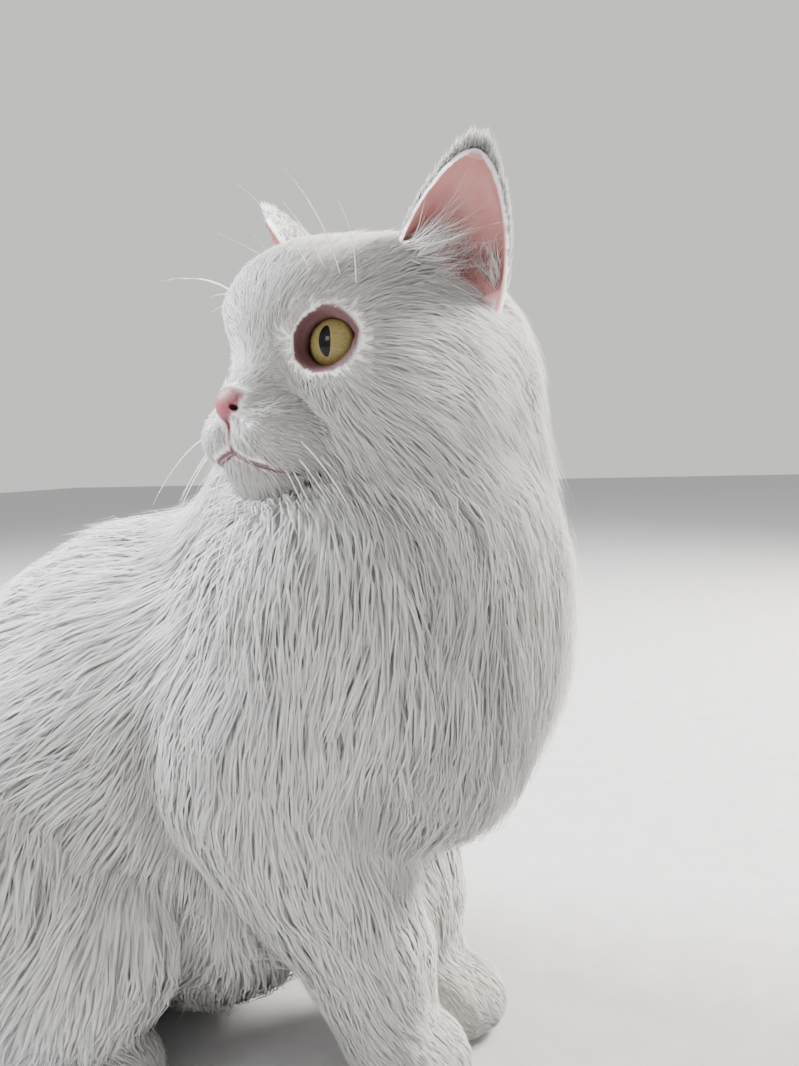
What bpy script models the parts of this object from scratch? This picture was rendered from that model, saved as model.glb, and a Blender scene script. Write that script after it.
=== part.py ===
"""A sitting long-haired white cat, life size, as a still model: solids for head, ears, eyes, neck,
torso, legs and tail, with the long coat as flat tapered locks rooted on each of them.

The flesh is a smooth union of named masses. Its distance field gives the surface of every node,
the depth of the coat over it and the way the hair lies. Units are metres, +Z is up, the chest
faces +X and the head is turned to the cat's right.
"""
import math

import bmesh
import bpy
import numpy as np
from mathutils import Matrix, Vector
from mathutils.bvhtree import BVHTree

# Driving dimensions, in metres
WITHERS_HEIGHT = 0.190
CHEST_FRONT = 0.059
SPINE_BEND = 0.9           # sideways curve of the spine to the cat's right, per metre behind the chest
BEND_START = 0.040
FORELEG_SPREAD = 0.0215
FORELEG_BACK = {1: 0.010, -1: 0.004}  # how far behind its paw the left or right foreleg comes down
HIP_SPREAD = 0.052
FOOT_SPREAD = 0.070
HEAD_CENTRE = (0.050, -0.012, 0.278)
HEAD_YAW = -112.0
HEAD_ROLL = -1.0
EYE_CENTRE = (0.0275, 0.022, 0.0030)
EYE_RADIUS = 0.0115
EYE_YAW = 20.0
EYE_PITCH = 4.0
EYE_SLANT = 14.0
EAR_BASE = (-0.010, 0.035, 0.025)
EAR_UP = (0.22, 0.52, 0.83)
EAR_OPEN = (0.75, 0.66, -0.10)
EAR_HEIGHT = 0.046
EAR_ROOT = 0.014           # how far the ear reaches down towards the skull below its base
EAR_HALF_WIDTH = 0.0200
EAR_THICKNESS = 0.0020
EAR_CUP_BOTTOM = -0.002
EAR_DEPTH = 0.62           # how deep an ear is, as a share of its width
EAR_RIM = 0.0045           # how far the rim stands ahead of the ear's middle
EAR_SIDES = 14
TAIL_PATH = ((-0.170, -0.040, 0.040), (-0.201, 0.004, 0.023), (-0.194, 0.066, 0.018),
             (-0.142, 0.118, 0.017), (-0.080, 0.136, 0.016), (-0.052, 0.136, 0.015))
TAIL_JOINTS = (2, 3)       # the points of the path where one length of the tail ends
TAIL_RADIUS = 0.0095
TAIL_TAPER = 0.45
TAIL_COAT = 0.024
GAP = 0.0003
FLOOR_SNAP = 0.0008
TOUCH = 0.0000001          # corners nearer than this count as one
SLIVER = 0.00003           # triangles thinner than this are closed up after a union
CORE_SHARE = 0.5           # the solid core under the locks fills this share of the coat
SHORT_COAT = 0.007         # a coat no deeper than this is solid to its tips

# Edge of a grid cell and number of triangles of each part, before its locks
DETAIL = {"torso": (0.0060, 1000), "neck": (0.0050, 360), "head": (0.00140, 1650),
          "foreleg": (0.0035, 200), "forepaw": (0.0020, 320), "thigh": (0.0045, 320),
          "hind_foot": (0.0022, 300), "tail": (0.0045, 120)}


def vec(*numbers):
    return np.array(numbers, float)


def unit(v):
    return v / np.linalg.norm(v)


def bent(point):
    """A point of the straight body, moved sideways by the curve of the spine."""
    x, y, z = point
    behind = max(BEND_START - x, 0.0)
    return vec(x, y - SPINE_BEND * behind * behind, z)


def head_axes():
    """Columns are the head's forward, left and up directions."""
    yaw, roll = math.radians(HEAD_YAW), math.radians(HEAD_ROLL)
    turn = np.array([[math.cos(yaw), -math.sin(yaw), 0], [math.sin(yaw), math.cos(yaw), 0], [0, 0, 1]])
    lean = np.array([[1, 0, 0], [0, math.cos(roll), -math.sin(roll)], [0, math.sin(roll), math.cos(roll)]])
    return turn @ lean


HEAD = head_axes()


def on_head(x, y, z):
    return vec(*HEAD_CENTRE) + HEAD @ vec(x, y, z)


def in_head(points):
    return (points - vec(*HEAD_CENTRE)) @ HEAD


def head_way(x, y, z):
    return HEAD @ vec(x, y, z)


class Mass:
    """One mass of flesh: how softly it joins the rest, how deep its coat is and which way it lies."""

    def __init__(self, blend, coat, lie):
        self.blend, self.coat, self.lie = blend, coat, unit(vec(*lie))


class RoundCone(Mass):
    def __init__(self, start, end, start_radius, end_radius, blend, coat, lie=None):
        self.start, self.end = vec(*start), vec(*end)
        self.radii = (start_radius, end_radius)
        super().__init__(blend, coat, lie if lie is not None else self.end - self.start)

    def distance(self, points):
        axis = self.end - self.start
        offset = points - self.start
        share = np.clip(offset @ axis / (axis @ axis), 0, 1)
        radius = self.radii[0] + (self.radii[1] - self.radii[0]) * share
        return np.linalg.norm(offset - share[..., None] * axis, axis=-1) - radius


class Ellipsoid(Mass):
    def __init__(self, centre, radii, blend, coat, lie, axes=None):
        self.centre, self.size = vec(*centre), vec(*radii)
        self.axes = np.eye(3) if axes is None else axes
        super().__init__(blend, coat, lie)

    def distance(self, points):
        local = ((points - self.centre) @ self.axes) / self.size
        near = np.linalg.norm(local, axis=-1)
        slope = np.linalg.norm(local / self.size, axis=-1)
        return near * (near - 1) / np.maximum(slope, 1e-9)


def pitched(degrees):
    a = math.radians(degrees)
    return np.array([[math.cos(a), 0, -math.sin(a)], [0, 1, 0], [math.sin(a), 0, math.cos(a)]])


def soft_min(a, b, blend):
    """The smaller of two distances, rounded where they are nearly equal."""
    share = np.maximum(blend - np.abs(a - b), 0) / blend
    return np.minimum(a, b) - share * share * blend / 4


def soft_max(a, b, blend):
    return -soft_min(-a, -b, blend)


def trunk_masses():
    back, down = (-1, 0, -0.3), (-0.1, 0, -1)
    return [
        Ellipsoid(bent((-0.140, 0, 0.076)), (0.058, 0.060, 0.066), 0.025, 0.020, (-1, 0, -0.8)),
        RoundCone(bent((-0.060, 0, 0.124)), bent((-0.130, 0, 0.096)), 0.062, 0.054, 0.025, 0.020, back),
        RoundCone(bent((0.030, 0, 0.152)), bent((-0.060, 0, 0.126)), 0.054, 0.062, 0.025, 0.020,
                  (-1, 0, -0.5)),
        Ellipsoid((CHEST_FRONT, 0, 0.162), (0.038, 0.046, 0.052), 0.025, 0.024, (0.2, 0, -1)),
        RoundCone((0.040, 0, WITHERS_HEIGHT), bent((-0.060, 0, 0.160)), 0.028, 0.032, 0.030, 0.018, back),
        Ellipsoid(bent((-0.055, 0, 0.072)), (0.069, 0.052, 0.048), 0.025, 0.020, (-0.2, 0, -1)),
        RoundCone((0.046, 0, 0.202), (0.050, -0.006, 0.250), 0.046, 0.037, 0.025, 0.026, down),
        RoundCone(on_head(-0.020, 0, -0.008), (0.047, -0.002, 0.217), 0.032, 0.043, 0.025, 0.022, down),
    ]


def toe_masses(centre, spread, coat):
    """Four rounded toes in an arc ahead of centre."""
    toes = []
    for number in range(4):
        across = (number - 1.5) / 1.5
        ahead = 0.010 - 0.005 * across * across
        place = vec(*centre) + vec(ahead, across * spread, -0.001)
        toes.append(Ellipsoid(place, (0.0115, 0.0058, 0.0100), 0.0022, coat, (1, 0, -0.1)))
    return toes


def foreleg_masses(side):
    back = FORELEG_BACK[side]
    shoulder = (0.045, side * 0.036, 0.187)
    elbow = (0.022 - back, side * 0.041, 0.132)
    wrist = (0.054 - back, side * FORELEG_SPREAD * 1.1, 0.050)
    pastern = (0.060 - back, side * FORELEG_SPREAD, 0.020)
    paw = (0.065, side * FORELEG_SPREAD, 0.0125)
    return [
        RoundCone(shoulder, elbow, 0.036, 0.029, 0.020, 0.014, (-0.2, 0, -1)),
        RoundCone(elbow, wrist, 0.028, 0.016, 0.015, 0.012),
        RoundCone(wrist, pastern, 0.0155, 0.0145, 0.008, 0.007),
        Ellipsoid(paw, (0.019, 0.0150, 0.0125), 0.006, 0.003, (1, 0, -0.1)),
        *toe_masses(paw, 0.0100, 0.003),
    ]


def hind_leg_masses(side):
    heel = bent((-0.125, side * 0.064, 0.017))
    toes = bent((-0.040, side * FOOT_SPREAD, 0.013))
    knee = bent((-0.048, side * 0.068, 0.062))
    return [
        Ellipsoid(bent((-0.105, side * HIP_SPREAD, 0.080)), (0.062, 0.032, 0.058), 0.022, 0.018,
                  (0.2, 0, -1), pitched(-25)),
        RoundCone(bent((-0.095, side * 0.060, 0.085)), knee, 0.040, 0.028, 0.020, 0.016, (-0.4, 0, -1)),
        RoundCone(bent((-0.050, side * FOOT_SPREAD, 0.055)), bent((-0.125, side * 0.064, 0.026)),
                  0.024, 0.015, 0.015, 0.010),
        RoundCone(heel, toes, 0.015, 0.013, 0.008, 0.005),
        *toe_masses(toes, 0.0105, 0.003),
    ]


def head_masses():
    masses = [
        Ellipsoid(on_head(-0.006, 0, 0.004), (0.040, 0.036, 0.034), 0.025, 0.007, head_way(-1, 0, 0), HEAD),
        Ellipsoid(on_head(0.0230, 0, 0.015), (0.0265, 0.030, 0.022), 0.014, 0.004,
                  head_way(-0.8, 0, 0.6), HEAD),
        RoundCone(on_head(0.022, 0, 0.001), on_head(0.0465, 0, -0.0145), 0.019, 0.0105, 0.010, 0.002,
                  head_way(-1, 0, 0.6)),
        Ellipsoid(on_head(0.0560, 0, -0.0158), (0.0058, 0.0072, 0.0054), 0.0025, 0.0003,
                  head_way(-1, 0, 0), HEAD),
        Ellipsoid(on_head(0.0420, 0, -0.0358), (0.0108, 0.0110, 0.0072), 0.006, 0.003,
                  head_way(-0.6, 0, -0.8), HEAD),
    ]
    for side in (-1, 1):
        masses += [
            Ellipsoid(on_head(0.010, side * 0.023, -0.014), (0.027, 0.019, 0.022), 0.014, 0.009,
                      head_way(-0.8, side * 0.4, -0.4), HEAD),
            Ellipsoid(on_head(0.0465, side * 0.0092, -0.0268), (0.0132, 0.0120, 0.0102), 0.005, 0.003,
                      head_way(-0.7, side * 0.6, -0.5), HEAD),
            RoundCone(on_head(0.036, side * 0.004, -0.0325), on_head(0.002, side * 0.014, -0.026),
                      0.0095, 0.017, 0.012, 0.006, head_way(-1, 0, -0.4)),
        ]
    return masses


TRUNK = trunk_masses()
FORELEGS = [mass for side in (-1, 1) for mass in foreleg_masses(side)]
HIND_LEGS = [mass for side in (-1, 1) for mass in hind_leg_masses(side)]
HEAD_FLESH = head_masses()
MASSES = TRUNK + FORELEGS + HIND_LEGS + HEAD_FLESH
NEARNESS = 0.007           # how fast a mass loses its say over the coat with distance


def skin_field(points, masses=None):
    """Distance to the skin, depth of the coat and the way it lies, at each point."""
    skin, weight, coat, lie = None, 0, 0, 0
    for mass in masses or MASSES:
        reach = mass.distance(points)
        say = np.exp(-np.clip(reach, -0.02, 0.2) / NEARNESS)
        weight = weight + say
        coat = coat + say * mass.coat
        lie = lie + say[..., None] * mass.lie
        skin = reach if skin is None else soft_min(skin, reach, mass.blend)
    return skin, coat / weight, lie


def core_share(coat):
    """Short coat is solid to its tips, and long coat only to half its depth."""
    return np.clip(1 - (coat - SHORT_COAT) / SHORT_COAT * (1 - CORE_SHARE), CORE_SHARE, 1)


def core_field(points):
    """Distance to the solid core that carries the locks, flat where it meets the floor."""
    skin, coat, _ = skin_field(points)
    return np.maximum(skin - coat * core_share(coat), -points[..., 2])


def eye_axes(side):
    """Columns are the way an eye looks, along its lids towards the ear, and up, in the head's frame."""
    yaw, pitch, slant = (math.radians(a) for a in (EYE_YAW, EYE_PITCH, EYE_SLANT))
    look = vec(math.cos(yaw) * math.cos(pitch), side * math.sin(yaw) * math.cos(pitch), math.sin(pitch))
    out = unit(np.cross(vec(0, 0, 1), look)) * side
    up = np.cross(look, out) * side
    along = out * math.cos(slant) + up * math.sin(slant)
    return np.stack([look, along, up * math.cos(slant) - out * math.sin(slant)], axis=1)


LID_THICKNESS = 0.0021
OPENING_HALF = (0.0100, 0.0083)  # half the length and half the height of the opened lids


def lid_opening(points, side):
    """Under zero inside the almond between the lids, which ends in the tear corner."""
    local = (points - vec(EYE_CENTRE[0], side * EYE_CENTRE[1], EYE_CENTRE[2])) @ eye_axes(side)
    half_length, half_height = OPENING_HALF
    arc = (half_length ** 2 + half_height ** 2) / (2 * half_height)
    drop = arc - half_height
    almond = np.maximum(np.hypot(local[..., 1], local[..., 2] + drop),
                        np.hypot(local[..., 1], local[..., 2] - drop)) - arc
    return np.maximum(almond, -local[..., 0])


def face_field(points):
    """The head's core with an opening before each eye and lids round it."""
    d = core_field(points)
    local = in_head(points)
    for side in (-1, 1):
        eye = vec(EYE_CENTRE[0], side * EYE_CENTRE[1], EYE_CENTRE[2])
        reach = np.linalg.norm(local - eye, axis=-1)
        opening = lid_opening(local, side)
        d = soft_max(d, -np.maximum(opening - 0.0005, reach - EYE_RADIUS - 0.010), 0.003)
        lid = np.maximum(reach - EYE_RADIUS - LID_THICKNESS, -opening)
        d = soft_min(d, lid, 0.003)
    return d


def without_pinches(value, cell):
    """Fills the corners where the surface would touch itself along an edge of the grid."""
    pinched = True
    while pinched:
        pinched = False
        for axis in range(3):
            u, v = (axis + 1) % 3, (axis + 2) % 3
            corners = []
            for a, b in ((0, 0), (1, 0), (1, 1), (0, 1)):
                spot = [slice(None)] * 3
                spot[u] = slice(a, value.shape[u] - 1 + a)
                spot[v] = slice(b, value.shape[v] - 1 + b)
                corners.append(tuple(spot))
            inside = [value[spot] < 0 for spot in corners]
            crossed = (inside[0] == inside[2]) & (inside[1] == inside[3]) & (inside[0] != inside[1])
            if crossed.any():
                pinched = True
                for spot in corners:
                    value[spot] = np.where(crossed & (value[spot] >= 0), -0.05 * cell, value[spot])
    return value


def surface_mesh(name, field, low, high, cell):
    """A closed mesh of the field's zero level in a box: one vertex in each cell that it crosses."""
    axes = [np.arange(a - cell, b + 2 * cell, cell) for a, b in zip(low, high)]
    grid = np.stack(np.meshgrid(*axes, indexing="ij"), axis=-1)
    pieces = np.array_split(grid, max(1, grid.size // 600000))
    value = np.concatenate([field(piece) for piece in pieces])
    value = np.maximum(value, np.max(np.maximum(vec(*low) - grid, grid - vec(*high)), axis=-1))
    value[np.abs(value) < 1e-9] = 1e-9
    value = without_pinches(value, cell)
    cells = tuple(n - 1 for n in value.shape)
    total, count = np.zeros(cells + (3,)), np.zeros(cells)
    steps = np.eye(3, dtype=int)
    for axis in range(3):
        for a in (0, 1):
            for b in (0, 1):
                corner = a * steps[(axis + 1) % 3] + b * steps[(axis + 2) % 3]
                other = corner + steps[axis]
                first = value[tuple(slice(c, c + n) for c, n in zip(corner, cells))]
                second = value[tuple(slice(c, c + n) for c, n in zip(other, cells))]
                crossed = (first < 0) != (second < 0)
                share = np.where(crossed, first / np.where(crossed, first - second, 1), 0)
                total += crossed[..., None] * (corner + share[..., None] * steps[axis])
                count += crossed
    used = count > 0
    index = np.full(cells, -1)
    index[used] = np.arange(used.sum())
    origin = np.array([a[0] for a in axes])
    points = origin + cell * (np.argwhere(used) + total[used] / count[used][:, None])
    faces = []
    for axis in range(3):
        u, v = (axis + 1) % 3, (axis + 2) % 3
        here = [slice(1, n) for n in cells]
        here[axis] = slice(0, cells[axis])
        ahead = list(here)
        ahead[axis] = slice(1, cells[axis] + 1)
        inside, beyond = value[tuple(here)] < 0, value[tuple(ahead)] < 0
        for flips, chosen in ((False, inside & ~beyond), (True, beyond & ~inside)):
            base = np.argwhere(chosen)
            base[:, u] += 1
            base[:, v] += 1
            around = [base - steps[u] - steps[v], base - steps[v], base, base - steps[u]]
            quad = np.stack([index[tuple(c.T)] for c in around], axis=1)
            faces.append(quad[:, ::-1] if flips else quad)
    return add_object(name, points, np.concatenate(faces))


def add_object(name, points, faces):
    mesh = bpy.data.meshes.new(name)
    mesh.from_pydata(np.asarray(points).tolist(), [], [list(face) for face in faces])
    made = bpy.data.objects.new(name, mesh)
    bpy.context.scene.collection.objects.link(made)
    return made


def apply_modifiers(subject):
    bpy.context.view_layer.update()
    graph = bpy.context.evaluated_depsgraph_get()
    mesh = bpy.data.meshes.new_from_object(subject.evaluated_get(graph))
    subject.modifiers.clear()
    subject.data = mesh
    return subject


def keep_largest(subject):
    """Drops every closed surface but the one with the largest volume."""
    work = bmesh.new()
    work.from_mesh(subject.data)
    left, shells = set(work.faces), []
    while left:
        shell, front = set(), [left.pop()]
        while front:
            face = front.pop()
            shell.add(face)
            near = {other for edge in face.edges for other in edge.link_faces} & left
            left -= near
            front += near
        shells.append(shell)

    def volume(shell):
        return sum(f.calc_center_median().dot(f.normal) * f.calc_area() for f in shell)

    best = max(shells, key=volume)
    bmesh.ops.delete(work, geom=[f for f in work.faces if f not in best], context="FACES")
    bmesh.ops.triangulate(work, faces=work.faces)
    work.to_mesh(subject.data)
    work.free()
    return subject


def decimated(subject, faces):
    bmesh_faces = 2 * len(subject.data.polygons)
    modifier = subject.modifiers.new("fewer faces", "DECIMATE")
    modifier.ratio = min(1.0, faces / bmesh_faces)
    return keep_largest(apply_modifiers(subject))


def boolean(subject, operation, other, solver="EXACT"):
    """Joins or cuts with one object or with a collection of them, which are then removed."""
    modifier = subject.modifiers.new(operation.lower(), "BOOLEAN")
    modifier.operation, modifier.solver = operation, solver
    if isinstance(other, bpy.types.Collection):
        modifier.operand_type, modifier.collection = "COLLECTION", other
        used = list(other.objects)
    else:
        modifier.object = other
        used = [other]
    apply_modifiers(subject)
    for made in used:
        bpy.data.objects.remove(made)
    return keep_largest(subject)


def without_slivers(subject):
    """Closes the edges and the triangles that a Boolean left too thin to matter."""
    work = bmesh.new()
    work.from_mesh(subject.data)
    bmesh.ops.dissolve_degenerate(work, dist=SLIVER, edges=work.edges)
    bmesh.ops.triangulate(work, faces=work.faces)
    work.to_mesh(subject.data)
    work.free()
    return keep_largest(subject)


def touching_places(subject):
    """Middles of the edges where a surface touches itself, once corners as good as equal are one."""
    mesh = subject.data
    points = np.array([v.co for v in mesh.vertices])
    _, index = np.unique(np.round(points / TOUCH), axis=0, return_inverse=True)
    faces = index.reshape(-1)[np.array([p.vertices for p in mesh.polygons])]
    corners = np.stack([faces, np.roll(faces, -1, axis=1)], axis=-1)
    whole = (corners[..., 0] != corners[..., 1]).all(axis=1)
    edges, first, count = np.unique(
        np.sort(corners[whole].reshape(-1, 2), axis=1), axis=0, return_index=True, return_counts=True)
    ends = np.array([p.vertices for p in mesh.polygons])[whole]
    ends = np.stack([ends, np.roll(ends, -1, axis=1)], axis=-1).reshape(-1, 2)[first[count != 2]]
    return points[ends].mean(axis=1)


def grown(subject, by):
    """A copy of a mesh whose vertices are pushed out along their normals."""
    made = subject.copy()
    made.data = subject.data.copy()
    bpy.context.scene.collection.objects.link(made)
    ways = [vertex.normal.copy() for vertex in made.data.vertices]
    for vertex, way in zip(made.data.vertices, ways):
        vertex.co += way * by
    return made


def block(cuts, inset):
    """A closed convex block: a cube of a metre, cut by planes that are each moved inwards by inset."""
    work = bmesh.new()
    bmesh.ops.create_cube(work, size=1.0)
    for point, normal in cuts:
        way = Vector(unit(vec(*normal)))
        place = Vector(point) + way * inset
        whole = work.verts[:] + work.edges[:] + work.faces[:]
        bmesh.ops.bisect_plane(work, geom=whole, plane_co=place, plane_no=way, clear_inner=True)
        bmesh.ops.holes_fill(work, edges=work.edges[:], sides=0)
    bmesh.ops.recalc_face_normals(work, faces=work.faces[:])
    mesh = bpy.data.meshes.new("block")
    work.to_mesh(mesh)
    work.free()
    made = bpy.data.objects.new("block", mesh)
    bpy.context.scene.collection.objects.link(made)
    return made


# Each cut is a point of its plane and the direction of the side that the node keeps
HEAD_TILT = unit(0.90 * vec(0, 0, 1) + 0.35 * HEAD[:, 0])
HEAD_CUT = (vec(0.052, 0, 0.236), HEAD_TILT)
NECK_CUT = (vec(0.040, 0, 0.205), vec(0.25, 0, 0.97))
WAIST_CUT = (vec(-0.016, 0, 0), vec(1, 0, 0))
ELBOW_CUT = (vec(0, 0, 0.112), vec(0, 0, -1))
ARMPIT_CUT = (vec(-0.004, 0, 0.112), vec(0.92, 0, 0.38))
PASTERN_HEIGHT = 0.034
HOCK_HEIGHT = 0.036
HIP_CUT = (vec(-0.080, 0, 0.130), vec(-0.34, 0, -0.94))
KNEE_CUT = (vec(-0.006, 0, 0), vec(-1, 0, 0))
HEEL_CUT = (vec(-0.160, 0, 0), vec(1, 0, 0))
FLANK_DEPTH = 0.045        # how far from the spine the thighs part from the torso


def turned(cut):
    point, normal = cut
    return point, -normal


def level_cut(height, way):
    return vec(0, 0, height), vec(0, 0, way)


def flank_cut(side):
    front, rear = bent((-0.050, side * FLANK_DEPTH, 0)), bent((-0.140, side * FLANK_DEPTH, 0))
    return front, side * unit(np.cross(vec(0, 0, 1), front - rear))


def foreleg_cuts(side):
    return [ELBOW_CUT, ARMPIT_CUT, (vec(0, 0, 0), vec(0, side, 0))]


def thigh_cuts(side):
    return [HIP_CUT, KNEE_CUT, HEEL_CUT, flank_cut(side)]


def set_down(subject):
    """Puts the flats that thinning left near floor level exactly on it."""
    for vertex in subject.data.vertices:
        if vertex.co.z < FLOOR_SNAP:
            vertex.co.z = 0.0
    return subject


def flesh_part(name, kind, cuts, low, high, field=core_field):
    """One node of the flesh: its field in a box, thinned and then cut by planes."""
    cell, faces = DETAIL[kind]
    made = set_down(decimated(surface_mesh(name, field, low, high, cell), faces))
    return boolean(made, "INTERSECT", block(cuts, GAP / 2), "MANIFOLD") if cuts else made


def build_torso():
    nodes = {}
    for name, cut in (("torso_front", WAIST_CUT), ("torso_rear", turned(WAIST_CUT))):
        torso = flesh_part(name, "torso", [], (-0.24, -0.16, -0.01), (0.14, 0.12, 0.26))
        boolean(torso, "INTERSECT", block([cut, turned(NECK_CUT)], GAP / 2), "MANIFOLD")
        for side in (-1, 1):
            boolean(torso, "DIFFERENCE", block(foreleg_cuts(side), -GAP / 2), "MANIFOLD")
            boolean(torso, "DIFFERENCE", block(thigh_cuts(side), -GAP / 2), "MANIFOLD")
        nodes[name] = torso
    return nodes


SIDES = (("left", 1), ("right", -1))


def build_legs():
    legs = {}
    for word, side in SIDES:
        y = sorted((0.0, side * 0.11))
        arm, hip = foreleg_cuts(side), thigh_cuts(side)
        box = ((-0.03, y[0], -0.005), (0.13, y[1], 0.125))
        legs["foreleg_" + word] = flesh_part(
            "foreleg_" + word, "foreleg", arm + [level_cut(PASTERN_HEIGHT, 1)], *box)
        legs["forepaw_" + word] = flesh_part(
            "forepaw_" + word, "forepaw", arm + [level_cut(PASTERN_HEIGHT, -1)],
            (0.01, y[0], -0.005), (0.13, y[1], 0.045))
        y = sorted((0.0 if side > 0 else 0.02, side * 0.14))
        legs["thigh_" + word] = flesh_part(
            "thigh_" + word, "thigh", hip + [level_cut(HOCK_HEIGHT, 1)],
            (-0.18, y[0], 0.01), (0.02, y[1], 0.19))
        legs["hind_foot_" + word] = flesh_part(
            "hind_foot_" + word, "hind_foot", hip + [level_cut(HOCK_HEIGHT, -1)],
            (-0.18, y[0], -0.005), (0.02, y[1], 0.05))
    return legs


def surface_reach(start, way, far=0.05):
    """How far from a point inside the flesh its surface lies."""
    near = 0.0
    for _ in range(24):
        middle = (near + far) / 2
        if core_field((start + way * middle)[None])[0] < 0:
            near = middle
        else:
            far = middle
    return near


MOUTH_HEIGHT = -0.0318
MOUTH_DROP = 0.0072        # how far the lips run down beside the middle of the mouth
MOUTH_TURN = 66.0          # degrees from the middle of the mouth round to its corner
MOUTH_DEPTH = 0.0026
MOUTH_SECTIONS = 15
LIP_GAP = 0.0012
JAW_MIDDLE = 0.028         # where the directions round the mouth start, ahead of the head's centre
NOSTRIL = (0.0603, 0.0040, -0.0165)


def groove_ring(start, way, across, half, depth):
    """A thin rectangle that stands in the surface, to a depth below it."""
    reach = surface_reach(start, way)
    low, high = start + way * (reach - depth), start + way * (reach + 0.003)
    return np.array([low - across * half, high - across * half, high + across * half, low + across * half])


def mouth_cutter():
    rings = []
    up = head_way(0, 0, 1)
    for share in np.linspace(-1, 1, MOUTH_SECTIONS):
        angle, out = math.radians(MOUTH_TURN) * share, abs(share)
        height = MOUTH_HEIGHT - MOUTH_DROP * math.sin(min(out / 0.80, 1.10) * math.pi / 2)
        way = head_way(math.cos(angle), math.sin(angle), 0)
        start = on_head(JAW_MIDDLE, 0, height)
        narrow, shallow = 1 - 0.5 * out, 1 - 0.8 * out ** 3
        rings.append(groove_ring(start, way, up, LIP_GAP * narrow / 2, MOUTH_DEPTH * shallow))
    return loft("mouth", rings)


def philtrum_cutter():
    across = head_way(0, 1, 0)
    heights = np.linspace(-0.0215, MOUTH_HEIGHT, 5)
    return loft("philtrum", [groove_ring(on_head(JAW_MIDDLE, 0, z), head_way(1, 0, 0), across, 0.0005, 0.0012)
                             for z in heights])


def nostril_cutter(side):
    work = bmesh.new()
    bmesh.ops.create_icosphere(work, subdivisions=2, radius=1.0)
    mesh = bpy.data.meshes.new("nostril")
    work.to_mesh(mesh)
    work.free()
    mesh.transform(Matrix.Diagonal((0.0026, 0.0019, 0.0012, 1.0)))
    mesh.transform(Matrix.Rotation(math.radians(-18 * side), 4, "X"))
    mesh.transform(Matrix(HEAD.tolist()).to_4x4())
    mesh.transform(Matrix.Translation(on_head(*(vec(*NOSTRIL) * vec(1, side, 1)))))
    made = bpy.data.objects.new("nostril", mesh)
    bpy.context.scene.collection.objects.link(made)
    return made


def eyeball(name, side, radius, rings=7):
    mesh = bpy.data.meshes.new(name)
    work = bmesh.new()
    bmesh.ops.create_uvsphere(work, u_segments=2 * rings, v_segments=rings, radius=radius)
    bmesh.ops.triangulate(work, faces=work.faces)
    work.to_mesh(mesh)
    work.free()
    mesh.shade_smooth()
    made = bpy.data.objects.new(name, mesh)
    axes = HEAD @ eye_axes(side)
    way = Vector(axes[:, 0]).to_track_quat("Z", "Y")
    mesh.transform(way.to_matrix().to_4x4())
    mesh.transform(Matrix.Translation(on_head(EYE_CENTRE[0], side * EYE_CENTRE[1], EYE_CENTRE[2])))
    bpy.context.scene.collection.objects.link(made)
    return made


def build_head():
    head = flesh_part("head", "head", [HEAD_CUT, NECK_CUT], (-0.02, -0.10, 0.205), (0.12, 0.065, 0.335),
                      face_field)
    for word, side in SIDES:
        boolean(head, "DIFFERENCE", eyeball("socket", side, EYE_RADIUS + 2 * GAP), "MANIFOLD")
        boolean(head, "DIFFERENCE", nostril_cutter(side), "MANIFOLD")
    boolean(head, "DIFFERENCE", mouth_cutter(), "MANIFOLD")
    boolean(head, "DIFFERENCE", philtrum_cutter(), "MANIFOLD")
    return head


def ear_axes(side):
    """Columns are the ear's up, open and sideways directions, in the head's frame."""
    up = unit(vec(*EAR_UP) * vec(1, side, 1))
    ahead = vec(*EAR_OPEN) * vec(1, side, 1)
    ahead = unit(ahead - up * (ahead @ up))
    return np.stack([up, ahead, np.cross(up, ahead)], axis=1)


def loft(name, rings):
    """A closed solid through rings of equally many points, with flat ends."""
    count = len(rings[0])
    faces = [tuple(range(count))[::-1], tuple(range((len(rings) - 1) * count, len(rings) * count))]
    for ring in range(len(rings) - 1):
        for k in range(count):
            a, b = ring * count + k, ring * count + (k + 1) % count
            faces.append((a, b, b + count, a + count))
    made = add_object(name, np.concatenate(rings), faces)
    work = bmesh.new()
    work.from_mesh(made.data)
    bmesh.ops.recalc_face_normals(work, faces=work.faces)
    work.to_mesh(made.data)
    work.free()
    return made


def ear_ring(side, height, half, deep, ahead):
    """An oval across one ear, as a ring of points."""
    axes = HEAD @ ear_axes(side)
    turn = np.linspace(0, 2 * math.pi, EAR_SIDES, endpoint=False)
    local = np.stack([np.full(EAR_SIDES, height), ahead + deep * np.cos(turn), half * np.sin(turn)], axis=1)
    return on_head(*(vec(*EAR_BASE) * vec(1, side, 1))) + local @ axes.T


def ear_half(height):
    """Half the width of the ear's rounded triangle at a height over its base."""
    share = min(max(height / EAR_HEIGHT, 0.0), 1.0)
    return EAR_HALF_WIDTH * math.sqrt(max(1 - share ** 1.9, 0.0)) + 0.0012


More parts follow.
